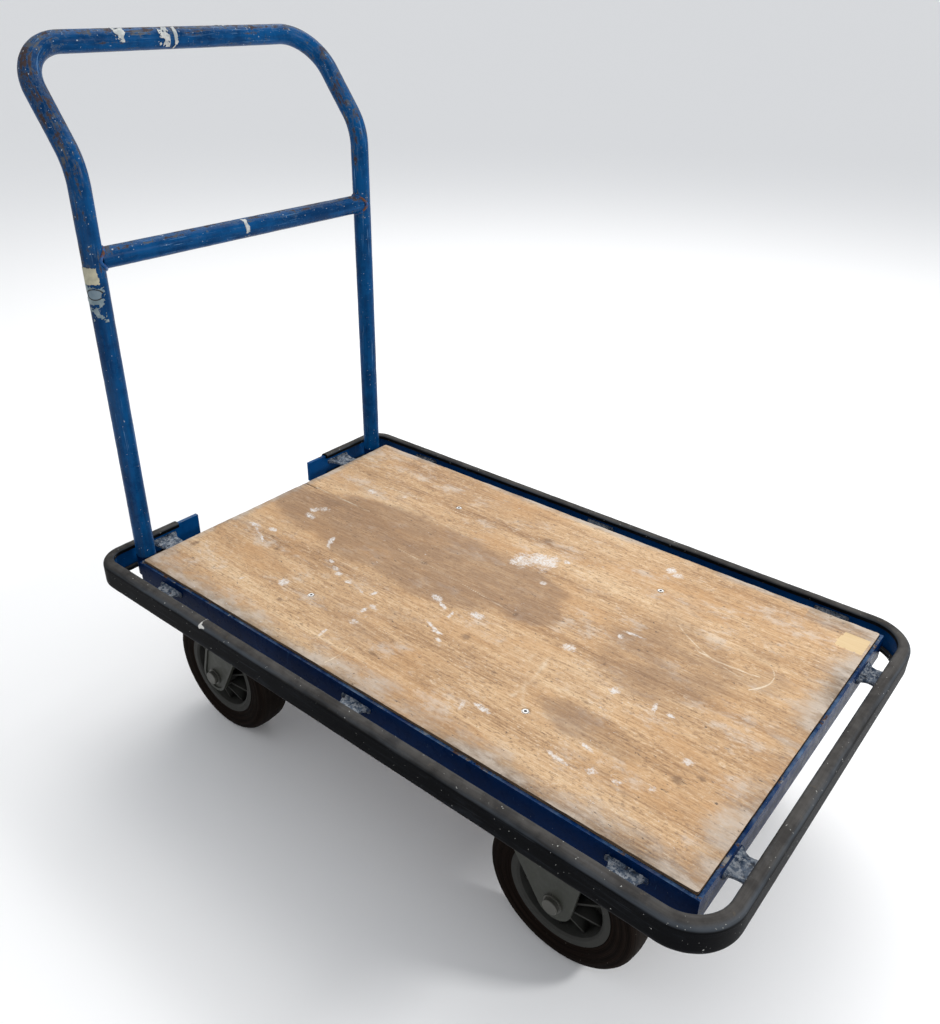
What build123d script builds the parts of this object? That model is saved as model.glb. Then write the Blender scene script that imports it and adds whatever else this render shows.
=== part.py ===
from build123d import *
from math import cos, radians, sin, sqrt, tan
import os

# Platform cart with a plug-in push handle. Millimetres, +Z up, floor at Z = 0.
# +X points away from the handle, +Y is the left side for a person pushing from the handle.
# Inside the functions X = 0 is the middle of the deck. Every node is moved by origin_shift at export,
# so that the finished cart stands with the middle of its overall box at the origin.

# Deck board
deck_length = 870.0
deck_width = 507.0
deck_thickness = 15.0
deck_proud = 4.5
deck_gap = 0.5

# Deck frame of 35 x 35 x 4 angle, upright leg outside, flat leg at the bottom
angle_leg = 35.0
angle_wall = 4.0
channel_width = 40.0
channel_wall = 2.5
pad_thickness = 4.0

# Casters
wheel_radius = 100.0
tyre_width = 50.0
rim_radius = 67.0
rim_seat_radius = 63.0
rim_width = 45.0
hub_radius = 22.0
hub_length = 58.0
bearing_outer_radius = 15.0
spacer_radius = 10.0
bolt_radius = 6.0
running_clearance = 0.05
fork_inner_width = 60.0
fork_wall = 4.0
pressed_wall = 3.8
pressed_rim = 6.0
caster_height = 234.0
caster_track = 388.0
plate_length = 135.0
plate_width = 110.0
plate_thickness = 4.0
hole_pitch_x = 105.0
hole_pitch_y = 85.0
plate_hole_radius = 5.5
front_plate_x = 256.0
front_axle_x = 271.0
swivel_x = -284.0
swivel_trail = 52.0
crown_drop = 17.0
crown_thickness = 5.0
crown_radius = 50.0
race_drop = 9.0
race_pitch_radius = 33.0
race_half_width = 8.0
race_gap = 1.2
ball_radius = 3.5
ball_count = 18
kingpin_radius = 7.0
kingpin_gap = 0.4
kingpin_collar = 8.6
kingpin_flats = 24.0
axle_boss_radius = 24.0
leg_waist_height = 78.0
plate_corner_radius = 10.0

# Bumper: flat steel bar with a rubber channel clipped over it
bumper_front_x = 477.0
bumper_rear_x = -502.0
bumper_half_width = 296.7
bumper_front_radius = 60.0
bumper_rear_radius = 40.0
bar_height = 35.0
bar_thickness = 6.0
bar_top_below_deck = 5.5
rubber_cover = 5.0
rubber_lip = 5.0
rubber_top = 4.0
rubber_bottom = 2.5
bar_end_y = 118.0
rubber_end_y = 157.0
bracket_width = 38.0
bracket_thickness = 5.0
bracket_below_deck = 15.7
bracket_side_x = (-365.0, 0.0, 365.0)
bracket_end_y = (-185.0, 185.0)

# Push handle
tube_radius = 14.0
tube_wall = 2.0
upright_x = -454.5
upright_y = 237.0
crossbar_above_deck = 424.0
bend_above_deck = 535.5
bend_angle = 37.3
upper_length = 160.0
bend_radius = 80.0
corner_radius = 62.0
spigot_height = 60.0
spigot_clearance = 0.1
socket_depth = 31.0

# Deck screws and cross members
screw_x = (-185.0, 173.0)
screw_y = 158.0
outer_channel_x = (-340.0, 308.5)

# Screws, bolts and nuts
screw_radius = 2.5
screw_head_radius = 3.6
screw_length = 19.5
cup_radius = 5.2
cup_depth = 2.4
cup_top = 1.2
drive_slot = 4.6
drive_slot_width = 1.2
caster_bolt_radius = 5.0
caster_bolt_flats = 16.0
caster_bolt_head = 6.4
caster_nut_height = 8.4
bolt_overhang = 12.0
axle_flats = 19.0
axle_head = 6.0
axle_head_radius = 10.0
axle_nut_height = 11.0
axle_washer = 2.5
axle_washer_radius = 12.0

# Levels and outlines that follow from the sizes above
frame_bottom = caster_height + pad_thickness
frame_top = frame_bottom + angle_leg
deck_top = frame_top + deck_proud
deck_bottom = deck_top - deck_thickness
frame_half_length = deck_length / 2 + deck_gap + angle_wall
frame_half_width = deck_width / 2 + deck_gap + angle_wall
bar_top = deck_top - bar_top_below_deck
bar_bottom = bar_top - bar_height
top_bar_x = upright_x - upper_length * sin(radians(bend_angle))
top_bar_z = deck_top + bend_above_deck + upper_length * cos(radians(bend_angle))
origin_shift = -(bumper_front_x + top_bar_x - tube_radius) / 2
wheel_y = caster_track / 2
plate_low = caster_height - plate_thickness
crown_top = plate_low - crown_drop
crown_low = crown_top - crown_thickness
race_z = plate_low - race_drop
sides = (("left", 1), ("right", -1))


def block(x_range, y_range, z_range):
    """Box between two values on each axis."""
    size = [high - low for low, high in (x_range, y_range, z_range)]
    middle = [(high + low) / 2 for low, high in (x_range, y_range, z_range)]
    return Pos(*middle) * Box(*size)


def rod_z(x, y, z_range, radius):
    """Upright cylinder."""
    low, high = z_range
    return Pos(x, y, (low + high) / 2) * Cylinder(radius, high - low)


def rod_y(x, z, y_range, radius):
    """Cylinder lying across the cart."""
    low, high = y_range
    return Pos(x, (low + high) / 2, z) * Rot(90, 0, 0) * Cylinder(radius, high - low)


def hexagon(across_flats, height):
    """Hexagonal prism on Z with its corners chamfered on the upper end."""
    prism = extrude(RegularPolygon(across_flats / 2, 6, major_radius=False, rotation=30), height)
    corner = across_flats / sqrt(3)
    upwards = (Align.CENTER, Align.CENTER, Align.MIN)
    cap = Cone(corner + height, corner - 0.8, height + 0.8 - 0.02, align=upwards)
    return prism & cap


def turned(points, axis=Axis.Y):
    """Solid of revolution from a closed list of (radius, height) points."""
    return revolve(make_face(Polyline(*points, close=True)), axis)


# ---------------------------------------------------------------- deck and frame


def deck_board():
    """Plywood board with eased edges, drilled for its four screws."""
    board = block(
        (-deck_length / 2, deck_length / 2), (-deck_width / 2, deck_width / 2), (deck_bottom, deck_top)
    )
    board = fillet(board.edges().filter_by(Axis.Z), 3.0)
    board = chamfer(board.faces().sort_by(Axis.Z)[-1].edges(), 0.8)
    for x, y in screw_places():
        board -= rod_z(x, y, (deck_bottom - 1, deck_top + 1), screw_radius + 0.7)
        board -= rod_z(x, y, (deck_top - cup_depth, deck_top + 1), cup_radius + 0.2)
    return board


def screw_places():
    """Plan positions of the deck screws."""
    return [(x, sign * screw_y) for x in screw_x for sign in (-1, 1)]


def frame_side(sign):
    """Long angle of the deck frame, drilled for the outer row of caster bolts."""
    outer = sign * frame_half_width
    inner = sign * (frame_half_width - angle_wall)
    toe = sign * (frame_half_width - angle_leg)
    length = (-frame_half_length, frame_half_length)
    upright = block(length, sorted((outer, inner)), (frame_bottom, frame_top))
    flat = block(length, sorted((outer, toe)), (frame_bottom, frame_bottom + angle_wall))
    bar = upright + flat
    for x in plate_bolt_x():
        bar -= rod_z(x, sign * (wheel_y + hole_pitch_y / 2), (frame_bottom - 1, frame_top), plate_hole_radius)
    return bar


def frame_end(sign):
    """Short angle that closes the frame between the two long ones."""
    outer = sign * frame_half_length
    inner = sign * (frame_half_length - angle_wall)
    toe = sign * (frame_half_length - angle_leg)
    across = frame_half_width - angle_wall
    flat_across = frame_half_width - angle_leg
    upright = block(sorted((outer, inner)), (-across, across), (frame_bottom + angle_wall, frame_top))
    flat = block(sorted((outer, toe)), (-flat_across, flat_across), (frame_bottom, frame_bottom + angle_wall))
    return upright + flat


def cross_member(x):
    """Channel with its open side down, butted between the flat legs of the long angles."""
    half = frame_half_width - angle_leg
    wide = (x - channel_width / 2, x + channel_width / 2)
    hollow = (x - channel_width / 2 + channel_wall, x + channel_width / 2 - channel_wall)
    member = block(wide, (-half, half), (frame_bottom, deck_bottom))
    member -= block(hollow, (-half - 1, half + 1), (frame_bottom - 1, deck_bottom - channel_wall))
    for screw, y in screw_places():
        if screw == x:
            member -= rod_z(x, y, (frame_bottom, deck_bottom + 1), screw_radius + 0.1)
    return member


def plate_bolt_x():
    """X of the eight caster bolt rows."""
    steps = (-hole_pitch_x / 2, hole_pitch_x / 2)
    return [centre + step for centre in (swivel_x, front_plate_x) for step in steps]


def plate_bolt_places(centre_x):
    """Plan positions of the four bolts of both plates at one end of the cart."""
    return [
        (centre_x + step_x, sign * (wheel_y + step_y))
        for sign in (-1, 1)
        for step_x in (-hole_pitch_x / 2, hole_pitch_x / 2)
        for step_y in (-hole_pitch_y / 2, hole_pitch_y / 2)
    ]


def caster_pads(x_range, centre_x):
    """Two steel pads welded under the frame and its channels, one for each caster of that end."""
    pads = []
    for sign in (-1, 1):
        across = sorted((sign * (wheel_y - plate_width / 2 - 3), sign * frame_half_width))
        pad = block(x_range, across, (caster_height, frame_bottom))
        for x, y in plate_bolt_places(centre_x):
            if y * sign > 0:
                pad -= rod_z(x, y, (caster_height - 1, frame_bottom + 1), plate_hole_radius)
        pads.append(pad)
    return Compound(pads)


def deck_screws():
    """Four countersunk screws, each in a cup washer let into the board."""
    head_top = deck_top - 0.2
    screws = []
    for x, y in screw_places():
        screw = rod_z(x, y, (head_top - screw_length - 1.3, deck_top - cup_top - 0.3), screw_radius)
        screw += rod_z(x, y, (deck_top - cup_top - 0.6, head_top), screw_head_radius)
        screw += rod_z(x, y, (deck_top - cup_depth, deck_top - cup_top), cup_radius)
        for long, wide in ((drive_slot, drive_slot_width), (drive_slot_width, drive_slot)):
            along, across = (x - long / 2, x + long / 2), (y - wide / 2, y + wide / 2)
            screw -= block(along, across, (head_top - 0.9, deck_top))
        screws.append(screw)
    return Compound(screws)


# ---------------------------------------------------------------- bumper


def bumper_outline(inset):
    """Rounded outline of the bumper in plan, moved inwards by inset."""
    front = bumper_front_x - inset
    rear = bumper_rear_x + inset
    half = bumper_half_width - inset
    outline = make_face(Polyline((front, -half), (front, half), (rear, half), (rear, -half), close=True))
    corners = outline.vertices()
    outline = fillet([v for v in corners if v.X > 0], bumper_front_radius - inset)
    rear_corners = [v for v in outline.vertices() if v.X < rear + 1]
    return fillet(rear_corners, bumper_rear_radius - inset)


def bumper_ring(outer_inset, inner_inset, z_range):
    """Upright wall that follows the bumper outline between two insets."""
    low, high = z_range
    wall = bumper_outline(outer_inset) - bumper_outline(inner_inset)
    return Pos(0, 0, low) * extrude(wall, high - low)


def rear_gap(half_gap):
    """Block that opens the ring at the handle end."""
    return block((bumper_rear_x - 10, bumper_rear_x + 60), (-half_gap, half_gap), (0, deck_top + 50))


def bumper_bar():
    """Flat bar on edge, bent round the four corners and open behind the handle end of the deck."""
    bar = bumper_ring(rubber_cover, rubber_cover + bar_thickness, (bar_bottom, bar_top))
    return bar - rear_gap(bar_end_y)


def bumper_rubber():
    """Rubber channel over the outer face of the bar, with rounded lips over its two edges."""
    width = rubber_cover + bar_thickness + rubber_lip
    full = (bar_bottom - rubber_bottom, bar_top + rubber_top)
    rubber = bumper_ring(0, width, full)
    rubber = round_rubber(rubber, full)
    rubber -= bumper_ring(rubber_cover, rubber_cover + bar_thickness, (bar_bottom, bar_top))
    rubber -= bumper_ring(rubber_cover + bar_thickness - 0.5, width + 1, (bar_bottom + 4, bar_top - 4))
    return rubber - rear_gap(rubber_end_y)


def round_rubber(rubber, full):
    """Rounds the long edges of the rubber: large on the outside, small on the inside."""
    level = [rubber.faces().sort_by(Axis.Z)[0], rubber.faces().sort_by(Axis.Z)[-1]]
    for face in level:
        rubber = fillet(edges_near(rubber, face.outer_wire().edges()), 9.0)
    top = rubber.faces().sort_by(Axis.Z)[-1]
    return fillet(edges_near(rubber, top.inner_wires()[0].edges()), 4.0)


def edges_near(solid, wanted):
    """Edges of a solid that have the same middles as the wanted ones."""
    middles = [edge @ 0.5 for edge in wanted]
    return [edge for edge in solid.edges() if any((edge @ 0.5 - middle).length < 0.01 for middle in middles)]


def bracket_level():
    """Heights of the underside and top of the bumper brackets."""
    return (deck_top - bracket_below_deck - bracket_thickness, deck_top - bracket_below_deck)


def bracket_edge_break(plate):
    """Eases the long edges of a bracket."""
    return chamfer(plate.edges().filter_by(Axis.Z), 2.0)


def side_brackets(sign):
    """Three plates welded between the long angle and the bar."""
    inner_bar = bumper_half_width - rubber_cover - bar_thickness
    across = sorted((sign * frame_half_width, sign * inner_bar))
    half = bracket_width / 2
    plates = [block((x - half, x + half), across, bracket_level()) for x in bracket_side_x]
    return Compound([bracket_edge_break(plate) for plate in plates])


def end_brackets(sign):
    """Two plates welded between the short angle and the bar."""
    reach = bumper_front_x if sign > 0 else bumper_rear_x
    inner_bar = reach - sign * (rubber_cover + bar_thickness)
    along = sorted((sign * frame_half_length, inner_bar))
    half = bracket_width / 2
    plates = [bracket_edge_break(block(along, (y - half, y + half), bracket_level())) for y in bracket_end_y]
    return Compound(plates)


# ---------------------------------------------------------------- handle


def handle_path():
    """Centre line of the bent tube, from one foot over the top bar to the other foot."""
    foot = frame_top
    knee = deck_top + bend_above_deck
    points = [
        (upright_x, upright_y, foot),
        (upright_x, upright_y, knee),
        (top_bar_x, upright_y, top_bar_z),
        (top_bar_x, -upright_y, top_bar_z),
        (upright_x, -upright_y, knee),
        (upright_x, -upright_y, foot),
    ]
    return FilletPolyline(*points, radius=[bend_radius, corner_radius, corner_radius, bend_radius])


def handle_tube():
    """One tube bent to a U with its upper part leaning back."""
    path = handle_path()
    section = Plane(origin=path @ 0, z_dir=path % 0) * (Circle(tube_radius) - Circle(tube_radius - tube_wall))
    return sweep(section, path=path, transition=Transition.ROUND)


def handle_crossbar():
    """Straight tube with its ends shaped to the uprights."""
    z = deck_top + crossbar_above_deck
    bar = rod_y(upright_x, z, (-upright_y, upright_y), tube_radius - 0.3)
    bar -= rod_y(upright_x, z, (-upright_y, upright_y), tube_radius - tube_wall)
    for sign in (-1, 1):
        bar -= rod_z(upright_x, sign * upright_y, (z - 40, z + 40), tube_radius)
    return bar


def handle_socket(sign):
    """Stub welded behind the frame, with a spigot that the handle tube drops over."""
    y = sign * upright_y
    spigot = tube_radius - tube_wall - spigot_clearance
    stub = rod_z(upright_x, y, (frame_top - socket_depth, frame_top), tube_radius)
    stub += chamfer_top(rod_z(upright_x, y, (frame_top, frame_top + spigot_height), spigot), 3.0)
    stub -= rod_z(upright_x, y, (frame_top - socket_depth - 1, frame_top + spigot_height + 1), spigot - 2.6)
    strap = block(
        (upright_x, -frame_half_length), (y - 9, y + 9), (frame_top - socket_depth, frame_top - 2)
    )
    return stub + (strap - rod_z(upright_x, y, (0, frame_top + 1), tube_radius - 0.5))


def chamfer_top(solid, size):
    """Chamfers the upper end of a cylinder."""
    return chamfer(solid.edges().sort_by(Axis.Z)[-1], size)


# ---------------------------------------------------------------- wheels


def tyre():
    """Solid rubber tyre with a crowned tread and one moulded step on each wall."""
    half = tyre_width / 2
    seat = rim_seat_radius
    shoulder = wheel_radius - 1.6
    outline = [
        Line((seat, -16), (rim_radius, -21)),
        Line((rim_radius, -21), (rim_radius + 12, -half)),
        Line((rim_radius + 12, -half), (shoulder, -half)),
        ThreePointArc((shoulder, -half), (wheel_radius, 0), (shoulder, half)),
        Line((shoulder, half), (rim_radius + 12, half)),
        Line((rim_radius + 12, half), (rim_radius, 21)),
        Line((rim_radius, 21), (seat, 16)),
        Line((seat, 16), (seat, -16)),
    ]
    section = make_face(Curve() + outline)
    shoulders = [v for v in section.vertices() if v.X > wheel_radius - 3]
    section = fillet(shoulders, 13.0)
    body = revolve(section, Axis.Y)
    for sign in (-1, 1):
        inner, outer = rim_radius + 13, rim_radius + 15
        wall = sorted((sign * (half - 1), sign * (half + 1)))
        body -= rod_y(0, 0, wall, outer) - rod_y(0, 0, wall, inner)
    return body


def rim():
    """Moulded wheel centre: hub, middle web, ten ribs and the band that carries the tyre."""
    half = rim_width / 2
    band = [
        (rim_seat_radius, -16),
        (rim_radius, -21),
        (rim_radius, -half),
        (rim_radius - 8, -half),
        (rim_radius - 11, -half + 2),
        (rim_radius - 14, -2.5),
        (rim_radius - 14, 2.5),
        (rim_radius - 11, half - 2),
        (rim_radius - 8, half),
        (rim_radius, half),
        (rim_radius, 21),
        (rim_seat_radius, 16),
    ]
    body = turned(band)
    hub = rod_y(0, 0, (-hub_length / 2, hub_length / 2), hub_radius)
    web = rod_y(0, 0, (-2.5, 2.5), rim_radius - 12) - rod_y(0, 0, (-3, 3), hub_radius - 1)
    rib_points = [
        (hub_radius - 2, -25),
        (rim_radius - 12.6, -14),
        (rim_radius - 12.6, 14),
        (hub_radius - 2, 25),
    ]
    rib = extrude(make_face(Polyline(*rib_points, close=True)), 1.4, both=True)
    body += web + hub
    for turn in range(10):
        body += Rot(0, 36 * turn + 18, 0) * rib
    return body - rod_y(0, 0, (-hub_length, hub_length), bearing_outer_radius)


def wheel_bearing():
    """Roller bearing in the hub, as a sleeve that runs on the spacer tube."""
    span = (-hub_length / 2, hub_length / 2)
    sleeve = rod_y(0, 0, span, bearing_outer_radius)
    return sleeve - rod_y(0, 0, span, spacer_radius + running_clearance)


def axle_spacer():
    """Tube clamped between the fork legs, on which the bearing runs."""
    half = fork_inner_width / 2
    return rod_y(0, 0, (-half, half), spacer_radius) - rod_y(0, 0, (-half, half), bolt_radius + 0.1)


def axle_bolt(outer_face):
    """M12 bolt with a washer and a flat round head on the -Y side."""
    washer_face = -outer_face - axle_washer
    shank = rod_y(0, 0, (washer_face, outer_face + axle_nut_height + 3), bolt_radius)
    washer = rod_y(0, 0, (washer_face, -outer_face), axle_washer_radius)
    head = rod_y(0, 0, (washer_face - axle_head, washer_face), axle_head_radius)
    head = fillet(head.faces().sort_by(Axis.Y)[0].edges(), 1.4)
    return shank + washer + head


def axle_nut(outer_face):
    """Lock nut on the +Y side."""
    nut = Pos(0, outer_face, 0) * Rot(-90, 0, 0) * hexagon(axle_flats, axle_nut_height)
    return nut - rod_y(0, 0, (outer_face - 1, outer_face + axle_nut_height + 5), bolt_radius)


# ---------------------------------------------------------------- caster forks


def leg_outline(points):
    """Flat outline of a fork leg in the X-Z plane: a boss round the axle, joined to the upper edge points."""
    return make_hull((Circle(axle_boss_radius) + make_face(Polyline(*points, close=True))).edges())


def mounting_plate():
    """Caster top plate with four bolt holes, on its own centre."""
    plate = block(
        (-plate_length / 2, plate_length / 2), (-plate_width / 2, plate_width / 2), (plate_low, caster_height)
    )
    plate = fillet(plate.edges().filter_by(Axis.Z), plate_corner_radius)
    for x in (-hole_pitch_x / 2, hole_pitch_x / 2):
        for y in (-hole_pitch_y / 2, hole_pitch_y / 2):
            plate -= rod_z(x, y, (plate_low - 1, caster_height + 1), plate_hole_radius)
    return plate


def rigid_fork():
    """Fixed fork on the axle centre: top plate, crown and two wide legs that reach back from the axle."""
    top = plate_low - wheel_radius
    shift = front_plate_x - front_axle_x
    rear_edge = shift - plate_length / 2
    front_edge = shift + plate_length / 2 - 6
    points = [(rear_edge, top), (rear_edge + 4, leg_waist_height), (0, 0), (30.0, 40.0), (front_edge, top)]
    outline = leg_outline(points)
    leg = Rot(90, 0, 0) * extrude(outline, fork_wall)
    inner = fork_inner_width / 2
    near = Pos(0, -inner, 0) * leg
    far = Pos(0, inner + fork_wall, 0) * leg
    crown = block((rear_edge, front_edge), (-inner - fork_wall, inner + fork_wall), (top - fork_wall, top))
    fork = near + far + crown
    fork -= rod_y(0, 0, (-inner - fork_wall - 1, inner + fork_wall + 1), bolt_radius + 0.2)
    return Pos(0, 0, wheel_radius) * fork + Pos(shift, 0, 0) * mounting_plate()


def swivel_plate():
    """Top plate of a swivel caster with the upper half of its ball race pressed into it."""
    race = rod_z(0, 0, (race_z + race_gap / 2, plate_low), race_pitch_radius + race_half_width)
    race -= rod_z(0, 0, (race_z, plate_low), race_pitch_radius - race_half_width)
    race -= Pos(0, 0, race_z) * Torus(race_pitch_radius, ball_radius + 0.4)
    return mounting_plate() + race


def kingpin():
    """Pin riveted into the top plate, with a collar that carries the fork crown from below."""
    collar_top = crown_low - kingpin_gap
    pin = rod_z(0, 0, (collar_top - kingpin_collar, plate_low), kingpin_radius)
    collar = Pos(0, 0, collar_top) * Rot(180, 0, 0) * hexagon(kingpin_flats, kingpin_collar)
    return pin + collar


def swivel_fork():
    """Swivel fork on the kingpin centre: crown, lower race and two legs trailing to the axle."""
    inner = fork_inner_width / 2
    outer = inner + pressed_rim
    crown = rod_z(0, 0, (crown_low, crown_top), crown_radius)
    crown &= block((-crown_radius, crown_radius), (-outer, outer), (crown_low, crown_top))
    race = rod_z(0, 0, (crown_top, race_z - race_gap / 2), race_pitch_radius + race_half_width)
    race -= Pos(0, 0, race_z) * Torus(race_pitch_radius, ball_radius + 0.02)
    leg = swivel_leg(inner, outer)
    fork = crown + race + leg + mirror(leg, Plane.XZ)
    fork -= rod_z(0, 0, (crown_low - 1, race_z), kingpin_radius + running_clearance)
    fork -= rod_y(-swivel_trail, wheel_radius, (-outer - 1, outer + 1), bolt_radius + 0.2)
    return fork


def swivel_leg(inner, outer):
    """Leg on the -Y side: a pressed plate with a raised rim along its edges."""
    top = crown_top - wheel_radius
    points = [(19.0, top), (-13.0, 44.0), (0, 0), (43.0, 46.0), (86.0, top)]
    outline = leg_outline(points)
    sheet = Rot(90, 0, 0) * extrude(outline, outer - inner)
    pressed = offset(outline, -4.0, kind=Kind.INTERSECTION) - Pos(0, top, 0) * Rectangle(200, 24)
    pocket = Rot(90, 0, 0) * extrude(pressed, outer - inner)
    leg = sheet - Pos(0, -pressed_wall, 0) * pocket
    return Pos(-swivel_trail, -inner, wheel_radius) * leg


def race_balls():
    """Ring of bearing balls between the top plate and the fork crown."""
    balls = []
    for index in range(ball_count):
        turn = radians(360 * index / ball_count)
        place = Pos(race_pitch_radius * cos(turn), race_pitch_radius * sin(turn), race_z)
        balls.append(place * Sphere(ball_radius))
    return Compound(balls)


# ---------------------------------------------------------------- fasteners of the casters


def grip_height(y):
    """Level of the surface that a caster nut sits on: the angle's flat leg, or the pad inside it."""
    return frame_bottom + angle_wall if abs(y) > wheel_y else frame_bottom


def caster_bolts():
    """Sixteen M10 bolts with their heads under the caster plates."""
    bolts = []
    for centre in (swivel_x, front_plate_x):
        for x, y in plate_bolt_places(centre):
            shank = rod_z(x, y, (plate_low, grip_height(y) + bolt_overhang), caster_bolt_radius)
            head = Rot(180, 0, 30) * hexagon(caster_bolt_flats, caster_bolt_head)
            bolts.append(shank + Pos(x, y, plate_low) * head)
    return Compound(bolts)


def caster_nuts():
    """Sixteen nuts inside the frame."""
    nuts = []
    for centre in (swivel_x, front_plate_x):
        for x, y in plate_bolt_places(centre):
            level = grip_height(y)
            nut = Pos(x, y, level) * Rot(0, 0, 30) * hexagon(caster_bolt_flats, caster_nut_height)
            nuts.append(nut - rod_z(x, y, (level - 1, level + bolt_overhang), caster_bolt_radius))
    return Compound(nuts)


# ---------------------------------------------------------------- assembly


def chassis_nodes():
    """Everything welded or screwed to the deck frame."""
    nodes = {
        "deck_board": deck_board(),
        "deck_screws": deck_screws(),
        "frame_end_front": frame_end(1),
        "frame_end_rear": frame_end(-1),
        "caster_pads_front": caster_pads((153.0, 328.5), front_plate_x),
        "caster_pads_rear": caster_pads((-360.0, -165.0), swivel_x),
        "bumper_bar": bumper_bar(),
        "bumper_rubber": bumper_rubber(),
        "bumper_brackets_front": end_brackets(1),
        "bumper_brackets_rear": end_brackets(-1),
        "caster_bolts": caster_bolts(),
        "caster_nuts": caster_nuts(),
    }
    for name, sign in sides:
        nodes[f"frame_side_{name}"] = frame_side(sign)
        nodes[f"bumper_brackets_{name}"] = side_brackets(sign)
        nodes[f"handle_socket_{name}"] = handle_socket(sign)
    for index, x in enumerate(sorted(screw_x + outer_channel_x), start=1):
        nodes[f"cross_member_{index}"] = cross_member(x)
    return nodes


def handle_nodes():
    """The lift-out handle."""
    return {"handle_tube": handle_tube(), "handle_crossbar": handle_crossbar()}


def wheel_nodes(name, place, sign):
    """One wheel and its axle parts, with the bolt head on the outer side of the cart."""
    outward = Rot(0, 0, 180) if sign > 0 else Rot(0, 0, 0)
    grip = fork_inner_width / 2 + (pressed_wall if name.startswith("rear") else fork_wall)
    return {
        f"tyre_{name}": place * tyre(),
        f"rim_{name}": place * rim(),
        f"wheel_bearing_{name}": place * wheel_bearing(),
        f"axle_spacer_{name}": place * axle_spacer(),
        f"axle_bolt_{name}": place * outward * axle_bolt(grip),
        f"axle_nut_{name}": place * outward * axle_nut(grip),
    }


def caster_nodes():
    """Two fixed casters under the front end and two swivel casters under the handle end."""
    nodes = {}
    for name, sign in sides:
        y = sign * wheel_y
        front = Pos(front_axle_x, y, wheel_radius)
        rear = Pos(swivel_x - swivel_trail, y, wheel_radius)
        nodes.update(wheel_nodes(f"front_{name}", front, sign))
        nodes.update(wheel_nodes(f"rear_{name}", rear, sign))
        nodes[f"rigid_fork_{name}"] = Pos(front_axle_x, y, 0) * rigid_fork()
        nodes[f"swivel_plate_{name}"] = Pos(swivel_x, y, 0) * swivel_plate()
        nodes[f"swivel_kingpin_{name}"] = Pos(swivel_x, y, 0) * kingpin()
        nodes[f"swivel_fork_{name}"] = Pos(swivel_x, y, 0) * swivel_fork()
        nodes[f"swivel_balls_{name}"] = Pos(swivel_x, y, 0) * race_balls()
    return nodes


os.makedirs("parts", exist_ok=True)
for node, shape in {**chassis_nodes(), **handle_nodes(), **caster_nodes()}.items():
    export_step(Pos(origin_shift, 0, 0) * shape, f"parts/{node}.step")
print("nodes written, origin shift", round(origin_shift, 3), "deck top", deck_top)
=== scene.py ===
import math

import bmesh
import bpy
from mathutils import Matrix, Vector, noise


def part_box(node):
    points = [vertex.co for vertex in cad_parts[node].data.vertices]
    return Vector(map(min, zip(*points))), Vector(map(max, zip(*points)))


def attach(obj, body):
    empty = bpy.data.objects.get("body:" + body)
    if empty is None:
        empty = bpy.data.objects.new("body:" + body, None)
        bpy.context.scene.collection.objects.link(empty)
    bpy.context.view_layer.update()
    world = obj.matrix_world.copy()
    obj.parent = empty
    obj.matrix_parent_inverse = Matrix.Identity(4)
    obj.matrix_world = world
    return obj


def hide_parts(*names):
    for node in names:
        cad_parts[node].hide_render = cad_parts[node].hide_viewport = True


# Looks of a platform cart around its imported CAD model. Metres, +Z up, +X away from the handle,
# +Y the left side. Pieces are built with their vertices in the frame's own coordinates, so
# "Object" texture coordinates mean the same place on every piece.

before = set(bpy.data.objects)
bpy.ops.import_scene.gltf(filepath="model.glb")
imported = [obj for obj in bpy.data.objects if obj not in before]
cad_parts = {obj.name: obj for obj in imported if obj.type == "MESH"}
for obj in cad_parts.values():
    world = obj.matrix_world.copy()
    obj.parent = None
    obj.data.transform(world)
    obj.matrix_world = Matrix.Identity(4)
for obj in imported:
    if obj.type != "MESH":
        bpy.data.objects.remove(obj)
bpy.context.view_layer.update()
MM = 0.001

deck_low, deck_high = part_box("deck_board")
rubber_low, rubber_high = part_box("bumper_rubber")
BAR_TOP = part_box("bumper_bar")[1].z
tube_low, tube_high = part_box("handle_tube")
crossbar_low, crossbar_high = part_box("handle_crossbar")
FRAME_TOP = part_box("frame_side_left")[1].z


# ---------------------------------------------------------------- node materials


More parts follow.
